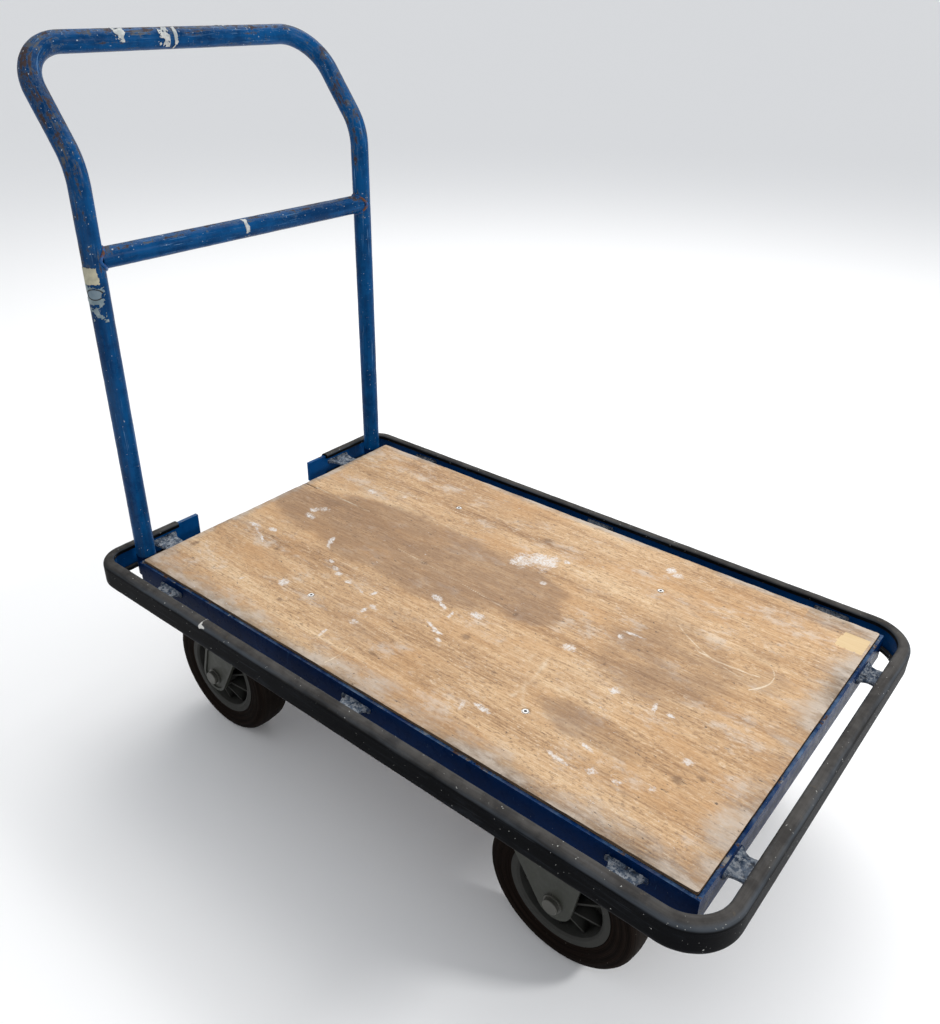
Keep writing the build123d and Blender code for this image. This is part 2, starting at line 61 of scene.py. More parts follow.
class Paint:
    """A node material round one Principled shader, with short names for the nodes it uses."""

    def __init__(self, name, metallic=0.0, **sockets):
        self.material = bpy.data.materials.new(name)
        self.material.use_nodes = True
        self.tree = self.material.node_tree
        self.shader = self.tree.nodes["Principled BSDF"]
        self.shader.inputs["Metallic"].default_value = metallic
        for socket, value in sockets.items():
            self.shader.inputs[socket.replace("_", " ")].default_value = value
        self.place = self.tree.nodes.new("ShaderNodeTexCoord").outputs["Object"]
        self.normal = self.tree.nodes.new("ShaderNodeNewGeometry").outputs["Normal"]

    def put(self, socket, value):
        """Sets an input socket from a number, a colour or another node's output."""
        if isinstance(value, bpy.types.NodeSocket):
            self.tree.links.new(value, socket)
        elif hasattr(value, "__len__") and socket.type == "RGBA":
            socket.default_value = (*value, 1.0) if len(value) == 3 else value
        else:
            socket.default_value = value

    def maths(self, operation, *values):
        node = self.tree.nodes.new("ShaderNodeMath")
        node.operation = operation
        for socket, value in zip(node.inputs, values):
            self.put(socket, value)
        return node.outputs[0]

    def add(self, a, b):
        return self.maths("ADD", a, b)

    def times(self, a, b):
        return self.maths("MULTIPLY", a, b)

    def stretched(self, x, y, z, source=None):
        """Object coordinates scaled on each axis."""
        node = self.tree.nodes.new("ShaderNodeMapping")
        node.inputs["Scale"].default_value = (x, y, z)
        self.put(node.inputs["Vector"], source or self.place)
        return node.outputs[0]

    def noise(self, scale, detail=4.0, roughness=0.55, vector=None, distortion=0.0):
        node = self.tree.nodes.new("ShaderNodeTexNoise")
        self.put(node.inputs["Vector"], vector or self.place)
        for socket, value in zip(("Scale", "Detail", "Roughness"), (scale, detail, roughness)):
            node.inputs[socket].default_value = value
        node.inputs["Distortion"].default_value = distortion
        return node.outputs["Fac"]

    def split(self, vector):
        node = self.tree.nodes.new("ShaderNodeSeparateXYZ")
        self.put(node.inputs[0], vector)
        return node.outputs

    def attribute(self, name, output="Fac"):
        node = self.tree.nodes.new("ShaderNodeAttribute")
        node.attribute_name = name
        return node.outputs[output]

    def step(self, value, low, high, out_low=0.0, out_high=1.0):
        """Smooth step of value between low and high."""
        node = self.tree.nodes.new("ShaderNodeMapRange")
        node.interpolation_type = "SMOOTHSTEP"
        for index, item in enumerate((value, low, high, out_low, out_high)):
            self.put(node.inputs[index], item)
        return node.outputs[0]

    def mix(self, share, a, b):
        """Colour a where share is 0 and b where it is 1."""
        node = self.tree.nodes.new("ShaderNodeMix")
        node.data_type = "RGBA"
        for index, item in ((0, share), (6, a), (7, b)):
            self.put(node.inputs[index], item)
        return node.outputs[2]

    def over(self, colour, tint, field, low, high, share=1.0):
        """Colour under a tint that comes up to its share as the field goes from low to high."""
        return self.mix(self.step(field, low, high, 0.0, share), colour, tint)

    def swing(self, field, amount):
        """A 0 to 1 field moved to swing about 0, by half the amount each way."""
        return self.times(self.add(field, -0.5), amount)

    def ramp(self, value, *stops):
        """Colour ramp from (position, colour) stops."""
        node = self.tree.nodes.new("ShaderNodeValToRGB")
        self.put(node.inputs[0], value)
        band = node.color_ramp.elements
        while len(band) < len(stops):
            band.new(0.5)
        for element, (position, colour) in zip(band, stops):
            element.position = position
            element.color = (*colour, 1.0)
        return node.outputs[0]

    def bump(self, height, depth, strength=1.0, normal=None):
        node = self.tree.nodes.new("ShaderNodeBump")
        node.inputs["Strength"].default_value = strength
        node.inputs["Distance"].default_value = depth
        self.put(node.inputs["Height"], height)
        if normal is not None:
            self.put(node.inputs["Normal"], normal)
        return node.outputs[0]

    def soft_edges(self, radius):
        """Normals rounded over sharp edges, for highlights."""
        node = self.tree.nodes.new("ShaderNodeBevel")
        node.samples = 4
        node.inputs["Radius"].default_value = radius
        return node.outputs[0]

    def finish(self, colour, roughness, normal=None, metallic=None):
        self.put(self.shader.inputs["Base Color"], colour)
        self.put(self.shader.inputs["Roughness"], roughness)
        if normal is not None:
            self.put(self.shader.inputs["Normal"], normal)
        if metallic is not None:
            self.put(self.shader.inputs["Metallic"], metallic)
        return self.material


RUST = (0.085, 0.036, 0.016)
RUST_DARK = (0.030, 0.016, 0.010)
DUST = (0.30, 0.26, 0.21)


def plywood_paint():
    """Worn plywood face: grain, stains, paint splats and dirt, with its layers on the edges."""
    p = Paint("plywood_worn", Specular_IOR_Level=0.32)
    grain_space = p.stretched(5.0, 90.0, 90.0)
    wander = p.noise(1.0, 3.0, vector=p.stretched(3.0, 14.0, 14.0))
    fine = p.noise(5.0, 8.0, 0.68, vector=grain_space, distortion=0.25)
    pores = p.noise(3.0, 5.0, 0.7, vector=p.stretched(28.0, 420.0, 420.0))
    bands = p.noise(1.0, 5.0, 0.6, vector=p.stretched(2.6, 26.0, 26.0), distortion=0.6)
    tone = p.add(p.times(fine, 0.45), p.add(p.times(bands, 0.35), p.times(wander, 0.20)))
    face = p.ramp(
        tone,
        (0.39, (0.250, 0.138, 0.066)),
        (0.46, (0.430, 0.258, 0.128)),
        (0.535, (0.560, 0.365, 0.198)),
        (0.61, (0.680, 0.495, 0.305)),
    )
    face = p.over(face, (0.180, 0.100, 0.055), pores, 0.57, 0.68, 0.60)
    streaks = p.noise(1.0, 6.0, 0.7, vector=p.stretched(9.0, 210.0, 90.0), distortion=0.3)
    face = p.over(face, (0.285, 0.175, 0.100), streaks, 0.55, 0.68, 0.42)
    face = p.over(face, (0.760, 0.600, 0.420), streaks, 0.44, 0.32, 0.35)
    pits = p.noise(330.0, 5.0, 0.7, vector=p.stretched(0.5, 1.0, 1.0))
    face = p.over(face, (0.185, 0.105, 0.058), pits, 0.53, 0.64, 0.62)
    nicks = p.noise(1.0, 6.0, 0.72, vector=p.stretched(46.0, 300.0, 90.0))
    face = p.over(face, (0.095, 0.056, 0.034), nicks, 0.60, 0.68, 0.75)
    face = p.over(face, (0.790, 0.680, 0.530), pits, 0.45, 0.34, 0.38)
    warm = p.noise(11.0, 7.0, 0.7, vector=p.stretched(0.5, 1.3, 1.0))
    face = p.over(face, (0.500, 0.275, 0.115), warm, 0.46, 0.66, 0.50)
    bloom = p.noise(19.0, 8.0, 0.74, vector=p.stretched(0.7, 1.2, 1.0))
    face = p.over(face, (0.640, 0.580, 0.510), bloom, 0.53, 0.66, 0.42)
    blotch = p.noise(7.0, 6.0, 0.65)
    face = p.over(face, (0.44, 0.29, 0.17), blotch, 0.50, 0.75, 0.35)
    grey = p.noise(16.0, 8.0, 0.7, vector=p.stretched(0.5, 1.0, 1.0))
    face = p.over(face, (0.46, 0.41, 0.35), grey, 0.55, 0.72, 0.30)

    # Stains, held as soft shapes on the mesh and broken up here.
    ragged = p.noise(14.0, 7.0, 0.65, vector=p.stretched(0.6, 1.6, 1.0))
    stain = p.step(p.add(p.attribute("stain"), p.swing(ragged, 0.95)), 0.42, 0.74)
    patchy = p.step(p.noise(55.0, 7.0, 0.7, vector=p.stretched(0.45, 1.4, 1.0)), 0.30, 0.62, 0.55, 1.0)
    stain = p.times(stain, patchy)
    face = p.mix(p.times(stain, 0.72), face, p.mix(fine, (0.150, 0.080, 0.038), (0.300, 0.175, 0.095)))

    # Dirt that gathers towards the edges and in small scuffs.
    dirt_break = p.noise(30.0, 8.0, 0.7, vector=p.stretched(0.55, 1.3, 1.0))
    dirt = p.step(p.add(p.attribute("dirt"), p.swing(dirt_break, 1.3)), 0.22, 0.85)
    dirt_tone = p.mix(p.step(dirt_break, 0.36, 0.60), (0.085, 0.074, 0.064), (0.440, 0.395, 0.345))
    face = p.mix(p.times(dirt, 0.74), face, dirt_tone)
    specks = p.step(p.noise(170.0, 4.0, 0.68, vector=p.stretched(0.6, 1.2, 1.0)), 0.640, 0.70, 0.0, 0.80)
    face = p.mix(specks, face, (0.06, 0.045, 0.035))
    knot_break = p.noise(130.0, 6.0, 0.7)
    knots = p.step(p.add(p.attribute("knot"), p.swing(knot_break, 1.2)), 0.35, 0.85)
    face = p.mix(p.times(knots, 0.60), face, p.mix(knot_break, (0.060, 0.034, 0.020), (0.190, 0.105, 0.058)))

    # Pale paint splats and scrapes.
    paint_break = p.noise(190.0, 6.0, 0.72)
    thin_paint = p.noise(46.0, 6.0, 0.68, vector=p.stretched(0.6, 1.3, 1.0))
    field = p.add(p.attribute("splat"), p.swing(paint_break, 1.1))
    field = p.add(field, p.swing(thin_paint, 0.7))
    grain = p.step(p.noise(380.0, 3.0, 0.6), 0.36, 0.58, 0.25, 1.0)
    splat = p.times(p.step(field, 0.38, 0.78), p.times(p.step(thin_paint, 0.32, 0.62, 0.50, 0.95), grain))
    loose = p.step(p.noise(150.0, 4.0, 0.65), 0.665, 0.72)
    loose = p.times(loose, p.step(p.noise(6.0, 4.0, 0.6), 0.42, 0.60))
    splat = p.maths("MAXIMUM", splat, p.times(loose, 0.60))
    face = p.mix(splat, face, (0.700, 0.675, 0.650))
    scrape_break = p.noise(60.0, 4.0, 0.6)
    scrape = p.step(p.add(p.attribute("scrape"), p.swing(scrape_break, 0.7)), 0.45, 0.9)
    face = p.mix(p.times(scrape, 0.72), face, (0.760, 0.650, 0.490))
    bare = p.step(p.attribute("bare"), 0.4, 0.6)
    face = p.mix(bare, face, p.mix(fine, (0.52, 0.36, 0.18), (0.70, 0.54, 0.32)))
    dark = p.step(p.attribute("crack"), 0.3, 0.8)
    face = p.mix(dark, face, (0.022, 0.016, 0.012))

    # Edges: thin layers, darkened.
    up = p.split(p.normal)[2]
    height = p.split(p.place)[2]
    layer = p.maths("SINE", p.times(height, 2 * math.pi / (2.5 * MM)))
    ply = p.mix(p.step(layer, -0.3, 0.3), (0.110, 0.066, 0.038), (0.200, 0.130, 0.075))
    ply = p.over(ply, (0.045, 0.032, 0.024), dirt_break, 0.4, 0.7, 0.8)
    side = p.step(up, 0.35, 0.75, 1.0, 0.0)
    face = p.mix(side, face, ply)
    relief = p.add(p.times(fine, 0.6), p.times(pores, -0.5))
    normal = p.bump(relief, 0.5 * MM, 0.75)
    rough = p.step(p.add(dirt, stain), 0.0, 1.6, 0.62, 0.50)
    return p.finish(face, rough, normal)


def chipped_blue(name, deep, bright, wear, top_edge=None):
    """Gloss blue paint with runs, rust where it has chipped, pale scratches and dust on top faces, and a
    pale line along the top edge that is partly wear and partly painted highlight.
    """
    p = Paint(name, Specular_IOR_Level=0.02)
    cloudy = p.noise(9.0, 5.0, 0.6)
    mottled = p.noise(70.0, 5.0, 0.65)
    shade = p.add(p.times(cloudy, 0.65), p.times(mottled, 0.35))
    colour = p.mix(p.step(shade, 0.36, 0.64), deep, bright)
    up = p.step(p.split(p.normal)[2], 0.25, 0.95)
    coarse = p.noise(42.0, 8.0, 0.72)
    chip_field = p.add(coarse, p.add(p.times(up, 0.10), p.times(p.noise(8.0, 3.0, 0.5), 0.16)))
    if top_edge is not None:
        near_top = p.step(p.split(p.place)[2], top_edge - 0.9 * MM, top_edge - 0.1 * MM)
        chip_field = p.add(chip_field, p.times(near_top, 0.03))
    chip = p.step(chip_field, wear, wear + 0.015)
    halo = p.step(chip_field, wear - 0.022, wear - 0.008)
    scratch_a = p.step(p.noise(1.0, 3.0, 0.5, vector=p.stretched(900.0, 24.0, 60.0)), 0.70, 0.74)
    scratch_b = p.step(p.noise(1.0, 3.0, 0.5, vector=p.stretched(60.0, 500.0, 16.0)), 0.71, 0.75)
    scratch = p.maths("MAXIMUM", scratch_a, scratch_b)
    colour = p.mix(p.times(scratch, 0.45), colour, (0.060, 0.150, 0.300))
    colour = p.mix(p.times(halo, 0.40), colour, (0.080, 0.150, 0.250))
    rust = p.mix(p.noise(160.0, 4.0, 0.7), RUST_DARK, RUST)
    rust = p.mix(p.step(p.noise(55.0, 4.0, 0.6), 0.50, 0.60), rust, (0.20, 0.19, 0.18))
    colour = p.mix(chip, colour, rust)
    # Pale line along the top edge: partly worn paint, partly a painted highlight where the top edge catches
    # the light.
    if top_edge is not None:
        worn_and_lit_top = p.add(p.times(near_top, 0.75), p.times(p.noise(34.0, 7.0, 0.7), 0.40))
        pale_top_wear_and_highlight = p.step(worn_and_lit_top, 0.90, 1.06)
        colour = p.mix(p.times(pale_top_wear_and_highlight, 0.62), colour, (0.130, 0.220, 0.340))
    dust = p.times(up, p.step(p.noise(24.0, 6.0, 0.65), 0.46, 0.78, 0.0, 0.20))
    colour = p.mix(dust, colour, DUST)
    specks = p.step(p.noise(420.0, 2.0, 0.5), 0.765, 0.80)
    colour = p.mix(p.times(specks, 0.7), colour, (0.55, 0.56, 0.56))
    height = p.add(p.times(chip, -1.0), p.times(mottled, 0.18))
    rough = p.add(p.step(mottled, 0.3, 0.7, 0.24, 0.36), p.times(p.maths("MAXIMUM", chip, dust), 0.42))
    return p.finish(colour, rough, p.bump(height, 0.18 * MM, 0.8, p.soft_edges(0.5 * MM)))


def handle_paint():
    """Blue handle paint, worn to rust along the top of the bars and the outside of the bends, with pale
    streaks that are partly scratches and partly painted highlight.
    """
    p = Paint("blue_handle", Specular_IOR_Level=0.06)
    run = p.attribute("run", "Vector")
    along = p.stretched(6.0, 60.0, 60.0, run)
    cloudy = p.noise(5.0, 5.0, 0.6)
    mottled = p.noise(46.0, 6.0, 0.66)
    long_tone = p.noise(1.0, 5.0, 0.65, vector=p.stretched(7.0, 90.0, 90.0, run))
    shade = p.add(p.times(cloudy, 0.35), p.add(p.times(mottled, 0.30), p.times(long_tone, 0.35)))
    colour = p.mix(p.step(shade, 0.40, 0.60), (0.0003, 0.026, 0.092), (0.0007, 0.060, 0.190))
    wear = p.attribute("wear")
    coarse = p.noise(84.0, 9.0, 0.80, distortion=0.3)
    streaks = p.noise(1.0, 6.0, 0.66, vector=p.stretched(26.0, 210.0, 210.0, run))
    chip_field = p.add(p.add(p.times(coarse, 0.56), p.times(streaks, 0.44)), p.times(wear, 0.17))
    chip = p.times(p.step(chip_field, 0.612, 0.650), 0.9)
    halo = p.step(chip_field, 0.580, 0.612)
    # Long pale-blue streaks, strongest on the top faces and the lean stretch: partly scratches, partly a
    # painted highlight along the tube.
    thin = p.step(p.noise(1.0, 4.0, 0.6, vector=p.stretched(12.0, 420.0, 420.0, run)), 0.61, 0.66)
    thin = p.times(thin, p.step(p.add(p.noise(11.0, 3.0, 0.5), p.times(wear, 0.12)), 0.47, 0.58))
    colour = p.mix(p.times(thin, 0.75), colour, (0.110, 0.230, 0.400))
    colour = p.mix(p.times(halo, 0.38), colour, (0.060, 0.120, 0.210))
    scuffs = p.step(p.add(p.noise(90.0, 6.0, 0.72), p.times(wear, 0.06)), 0.655, 0.70)
    colour = p.mix(p.times(scuffs, 0.35), colour, (0.090, 0.150, 0.240))
    rust = p.mix(p.noise(210.0, 4.0, 0.7), (0.018, 0.014, 0.013), (0.085, 0.048, 0.032))
    rust = p.over(rust, (0.092, 0.094, 0.096), p.noise(40.0, 5.0, 0.6), 0.47, 0.58, 0.85)
    colour = p.mix(chip, colour, rust)
    stripe = p.step(p.attribute("grime"), 0.2, 0.9)
    grime = p.times(stripe, p.step(p.noise(1.0, 6.0, 0.7, vector=along), 0.35, 0.75))
    colour = p.mix(p.times(grime, 0.6), colour, (0.030, 0.034, 0.040))
    flake = p.step(p.add(p.noise(300.0, 2.0, 0.5), p.times(wear, 0.03)), 0.715, 0.75)
    colour = p.mix(p.times(flake, 0.75), colour, (0.50, 0.54, 0.58))
    height = p.add(p.times(chip, -1.0), p.add(p.times(mottled, 0.22), p.times(scuffs, -0.12)))
    rough = p.add(p.step(mottled, 0.3, 0.7, 0.22, 0.36), p.add(p.times(chip, 0.40), p.times(scuffs, 0.15)))
    return p.finish(colour, rough, p.bump(height, 0.22 * MM, 0.85))


def rubber_paint():
    """Black bumper rubber: grey dust on the top, a painted sheen highlight on the shoulder, scuff lines and
    paint specks on the side.
    """
    p = Paint("bumper_rubber_worn", Specular_IOR_Level=0.02)
    run = p.attribute("run", "Vector")
    up = p.split(p.normal)[2]
    cloudy = p.noise(14.0, 7.0, 0.65)
    long = p.noise(1.0, 6.0, 0.68, vector=p.stretched(10.0, 260.0, 260.0, run))
    grit = p.noise(240.0, 5.0, 0.7)
    black = p.mix(cloudy, (0.0010, 0.0011, 0.0015), (0.0040, 0.0044, 0.0056))
    shoulder = p.step(p.add(up, p.swing(cloudy, 0.45)), 0.12, 1.0)
    relief = p.add(p.times(long, 0.6), p.times(grit, 0.4))
    dusty = p.mix(relief, (0.012, 0.0115, 0.011), (0.150, 0.142, 0.134))
    dusty = p.over(dusty, (0.026, 0.024, 0.023), p.noise(30.0, 8.0, 0.74), 0.42, 0.62, 0.6)
    colour = p.mix(p.times(shoulder, 0.88), black, dusty)
    # Painted sheen: a bluish highlight band on the shoulder, between the top and the side.
    painted_sheen = p.times(p.step(up, 0.15, 0.50), p.step(up, 0.98, 0.62))
    broken = p.noise(1.0, 5.0, 0.6, vector=p.stretched(5.0, 60.0, 60.0, run))
    painted_sheen = p.times(painted_sheen, p.step(broken, 0.35, 0.62))
    colour = p.mix(p.times(painted_sheen, 0.42), colour, (0.105, 0.125, 0.150))
    lines = p.times(p.step(long, 0.55, 0.68), p.step(p.noise(9.0, 4.0, 0.6), 0.40, 0.60, 0.3, 1.0))
    colour = p.mix(p.times(lines, 0.30), colour, (0.058, 0.066, 0.080))
    smear = p.step(p.noise(22.0, 7.0, 0.7, vector=p.stretched(0.6, 1.8, 1.8, run)), 0.52, 0.74)
    colour = p.mix(p.times(smear, 0.34), colour, (0.026, 0.031, 0.040))
    brown = p.step(p.noise(50.0, 6.0, 0.7), 0.60, 0.70)
    colour = p.mix(p.times(brown, p.times(shoulder, 0.55)), colour, (0.105, 0.088, 0.068))
    specks = p.step(p.noise(270.0, 2.0, 0.5), 0.715, 0.750)
    colour = p.mix(p.times(specks, 0.8), colour, (0.50, 0.50, 0.47))
    mark = p.step(p.add(p.attribute("mark"), p.swing(p.noise(330.0, 4.0, 0.7), 0.7)), 0.42, 0.62)
    colour = p.mix(mark, colour, (0.66, 0.65, 0.62))
    rough = p.step(p.add(shoulder, p.times(grit, 0.3)), 0.1, 1.1, 0.46, 0.80)
    return p.finish(colour, rough, p.bump(relief, 0.30 * MM, 0.7))


def tyre_paint():
    """Brown-black tyre rubber with moulded rings, dust on the tread and dry cracks; the rings carry painted
    highlight and shade.
    """
    p = Paint("tyre_worn", Specular_IOR_Level=0.02)
    radius = p.attribute("radius")
    rings = p.maths("SINE", p.times(radius, 2 * math.pi / (1.7 * MM)))
    cloudy = p.noise(26.0, 6.0, 0.68)
    fine = p.noise(260.0, 4.0, 0.7)
    colour = p.mix(cloudy, (0.0022, 0.0014, 0.0010), (0.0075, 0.0046, 0.0034))
    # Lighter fine rings: painted highlight on the moulded ridges.
    colour = p.over(colour, (0.022, 0.015, 0.012), rings, 0.45, 0.98, 0.40)
    wander = p.add(radius, p.swing(cloudy, 3.0 * MM))
    broad_ring_shading = p.maths("SINE", p.times(wander, 2 * math.pi / (8.4 * MM)))
    patchy = p.step(p.noise(12.0, 4.0, 0.6), 0.36, 0.62, 0.25, 1.0)
    # Broad lighter and darker rings: painted highlight and shade bands across the tyre wall.
    colour = p.mix(p.times(patchy, p.step(broad_ring_shading, 0.20, 0.95, 0.0, 0.40)), colour, (0.0180, 0.0110, 0.0085))
    colour = p.mix(p.times(patchy, p.step(broad_ring_shading, -0.55, -0.95, 0.0, 0.50)), colour, (0.0008, 0.0006, 0.0005))
    tread = p.attribute("tread")
    dust = p.step(p.add(tread, p.swing(cloudy, 1.1)), 0.3, 1.1)
    colour = p.mix(p.times(dust, 0.40), colour, p.mix(fine, (0.010, 0.008, 0.007), (0.038, 0.030, 0.025)))
    flecks = p.step(p.noise(330.0, 2.0, 0.5), 0.745, 0.775)
    colour = p.mix(p.times(flecks, 0.6), colour, (0.24, 0.22, 0.19))
    height = p.add(p.times(rings, 0.22), p.add(p.times(fine, 0.5), p.times(cloudy, 0.3)))
    return p.finish(colour, p.step(cloudy, 0.3, 0.7, 0.52, 0.72), p.bump(height, 0.25 * MM, 0.7))


def rim_paint():
    """Grey moulded plastic, darkened in its pockets by an occlusion mask as painted shade."""
    p = Paint("rim_plastic_worn", Specular_IOR_Level=0.05)
    cloudy = p.noise(30.0, 6.0, 0.65)
    fine = p.noise(300.0, 4.0, 0.65)
    colour = p.mix(cloudy, (0.026, 0.026, 0.024), (0.050, 0.050, 0.046))
    # Painted shade: near black in the pockets, from an occlusion mask.
    pocket_occlusion = p.tree.nodes.new("ShaderNodeAmbientOcclusion")
    pocket_occlusion.samples = 4
    pocket_occlusion.inputs["Distance"].default_value = 14 * MM
    deep = p.step(p.add(pocket_occlusion.outputs["AO"], p.swing(cloudy, 0.5)), 0.35, 0.95, 0.75, 0.0)
    colour = p.mix(deep, colour, (0.004, 0.0035, 0.003))
    scuff = p.step(p.noise(80.0, 6.0, 0.7), 0.60, 0.68)
    colour = p.mix(p.times(scuff, 0.3), colour, (0.075, 0.075, 0.070))
    normal = p.bump(p.add(fine, cloudy), 0.14 * MM, 0.6, p.soft_edges(0.7 * MM))
    return p.finish(colour, p.step(cloudy, 0.3, 0.7, 0.42, 0.58), normal)


def zinc_paint(name, dark, light, rust_level, roughness=0.45, metallic=0.7):
    """Dulled zinc plating, with white bloom, grime and rust spots."""
    p = Paint(name, metallic=metallic)
    cloudy = p.noise(20.0, 6.0, 0.65)
    bloom = p.noise(75.0, 7.0, 0.72)
    colour = p.mix(cloudy, dark, light)
    colour = p.mix(p.step(bloom, 0.52, 0.68, 0.0, 0.45), colour, tuple(min(1.0, 1.5 * c) for c in light))
    rust_field = p.noise(38.0, 9.0, 0.74)
    rust = p.step(rust_field, rust_level, rust_level + 0.05)
    colour = p.mix(rust, colour, p.mix(p.noise(200.0, 4.0, 0.7), RUST_DARK, RUST))
    grime = p.step(p.noise(12.0, 7.0, 0.7), 0.50, 0.75, 0.0, 0.5)
    colour = p.mix(grime, colour, (0.050, 0.045, 0.038))
    metal = p.times(p.step(p.add(rust, grime), 0.0, 0.8, 1.0, 0.0), metallic)
    rough = p.add(p.step(bloom, 0.3, 0.7, roughness - 0.08, roughness + 0.10), p.times(rust, 0.25))
    height = p.add(p.times(bloom, 0.4), p.times(rust, 0.6))
    return p.finish(colour, rough, p.bump(height, 0.20 * MM, 0.7, p.soft_edges(0.5 * MM)), metal)


def screw_paint():
    """Bright screw heads in pale cup rings, with painted shade in the drive recess and a painted shadow in
    the gap round the head.
    """
    p = Paint("screw_bright", Specular_IOR_Level=0.2)
    x, y = p.split(p.place)[0], p.split(p.place)[1]
    rear, front = deck_place(*SCREWS[0]), deck_place(*SCREWS[2])
    from_rear = p.maths("ABSOLUTE", p.add(x, -rear.x))
    from_front = p.maths("ABSOLUTE", p.add(x, -front.x))
    along = p.maths("MINIMUM", from_rear, from_front)
    across = p.add(p.maths("ABSOLUTE", y), -abs(rear.y))
    away = p.maths("SQRT", p.add(p.times(along, along), p.times(across, across)))
    fine = p.noise(400.0, 4.0, 0.7)
    colour = p.mix(fine, (0.760, 0.745, 0.720), (0.960, 0.950, 0.930))
    # Painted shade in the drive recess.
    drive_recess_shade = p.step(away, 1.5 * MM, 2.0 * MM, 1.0, 0.0)
    colour = p.mix(drive_recess_shade, colour, (0.020, 0.018, 0.016))
    # Painted shadow in the gap round the head.
    gap = p.times(p.step(away, 3.3 * MM, 3.7 * MM), p.step(away, 4.1 * MM, 3.8 * MM))
    colour = p.mix(p.times(gap, 0.8), colour, (0.060, 0.050, 0.042))
    return p.finish(colour, p.step(fine, 0.3, 0.7, 0.35, 0.55), p.bump(fine, 0.1 * MM, 0.6))


def crusty_paint(name):
    """Thick, crazed blue-grey paint over weld spatter: pale crust, rust spots and dark cracks."""
    p = Paint(name, Specular_IOR_Level=0.12)
    cloudy = p.noise(70.0, 7.0, 0.7)
    crust = p.noise(210.0, 7.0, 0.72)
    colour = p.mix(p.step(cloudy, 0.36, 0.62), (0.014, 0.030, 0.060), (0.115, 0.145, 0.190))
    colour = p.over(colour, (0.330, 0.350, 0.375), crust, 0.47, 0.58, 0.85)
    colour = p.over(colour, (0.010, 0.012, 0.018), p.noise(120.0, 6.0, 0.7), 0.56, 0.63, 0.75)
    colour = p.over(colour, (0.085, 0.045, 0.026), p.noise(95.0, 7.0, 0.72), 0.60, 0.66, 0.8)
    height = p.add(p.times(crust, 0.8), p.times(cloudy, 0.6))
    return p.finish(colour, p.step(crust, 0.3, 0.7, 0.55, 0.85), p.bump(height, 0.55 * MM, 0.9))


def weld_paint():
    """Weld metal under chipped paint: grey-blue scale, some rust and traces of blue."""
    p = Paint("weld_worn", Specular_IOR_Level=0.15)
    cloudy = p.noise(60.0, 7.0, 0.7)
    fine = p.noise(350.0, 5.0, 0.7)
    colour = p.mix(cloudy, (0.045, 0.060, 0.085), (0.200, 0.215, 0.240))
    colour = p.over(colour, (0.070, 0.036, 0.020), p.noise(120.0, 6.0, 0.7), 0.58, 0.66, 0.8)
    colour = p.over(colour, (0.006, 0.028, 0.085), p.noise(45.0, 5.0, 0.65), 0.52, 0.60, 0.8)
    return p.finish(colour, p.step(cloudy, 0.3, 0.7, 0.45, 0.75), p.bump(fine, 0.35 * MM, 0.8))


def handle_weld_paint():
    """Painted weld: blue, with rust breaking through."""
    p = Paint("weld_blue", Specular_IOR_Level=0.2)
    cloudy = p.noise(80.0, 7.0, 0.7)
    fine = p.noise(300.0, 5.0, 0.7)
    colour = p.mix(cloudy, (0.004, 0.05, 0.17), (0.012, 0.09, 0.27))
    rust = p.step(p.noise(95.0, 6.0, 0.72), 0.50, 0.55)
    colour = p.mix(rust, colour, p.mix(fine, RUST_DARK, (0.19, 0.075, 0.032)))
    return p.finish(colour, p.step(rust, 0.0, 1.0, 0.32, 0.75), p.bump(fine, 0.3 * MM, 0.8))


def tape_paint(name, clean, dirty):
    """Dried adhesive tape: cream, with yellowed patches and ground-in dirt."""
    p = Paint(name, Specular_IOR_Level=0.35)
    cloudy = p.noise(90.0, 6.0, 0.68)
    fibres = p.noise(1.0, 4.0, 0.6, vector=p.stretched(900.0, 900.0, 120.0))
    colour = p.mix(p.step(cloudy, 0.40, 0.66), clean, dirty)
    colour = p.over(colour, (0.24, 0.21, 0.17), fibres, 0.60, 0.70, 0.4)
    line = p.step(p.attribute("line"), 0.35, 0.65)
    colour = p.mix(line, colour, (0.010, 0.010, 0.012))
    tint = p.step(p.attribute("tint"), 0.35, 0.65)
    colour = p.mix(p.times(tint, 0.7), colour, (0.115, 0.17, 0.22))
    rough = p.step(cloudy, 0.3, 0.7, 0.5, 0.75)
    return p.finish(colour, rough, p.bump(p.add(cloudy, fibres), 0.12 * MM, 0.6))


# ---------------------------------------------------------------- mesh helpers


def piece(name, points, faces, body, material, replaces=(), smooth=True, values=None):
    """New mesh object from points and faces, riding on a CAD body."""
    mesh = bpy.data.meshes.new(name)
    mesh.from_pydata([tuple(p) for p in points], [], faces)
    mesh.validate()
    mesh.shade_smooth() if smooth else mesh.shade_flat()
    for key, data in (values or {}).items():
        kind = "FLOAT_VECTOR" if hasattr(data[0], "__len__") else "FLOAT"
        layer = mesh.attributes.new(key, kind, "POINT")
        flat = [number for item in data for number in item] if kind == "FLOAT_VECTOR" else data
        layer.data.foreach_set("vector" if kind == "FLOAT_VECTOR" else "value", flat)
    mesh.materials.append(material)
    made = bpy.data.objects.new(name, mesh)
    bpy.context.scene.collection.objects.link(made)
    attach(made, body)
    if replaces:
        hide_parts(*replaces)
    return made


def outward(made, sharp=None):
    """Turns all faces of a closed piece outwards, with sharp edges from an angle in degrees."""
    work = bmesh.new()
    work.from_mesh(made.data)
    bmesh.ops.recalc_face_normals(work, faces=work.faces)
    work.to_mesh(made.data)
    work.free()
    if sharp is not None:
        made.data.set_sharp_from_angle(angle=math.radians(sharp))
    return made


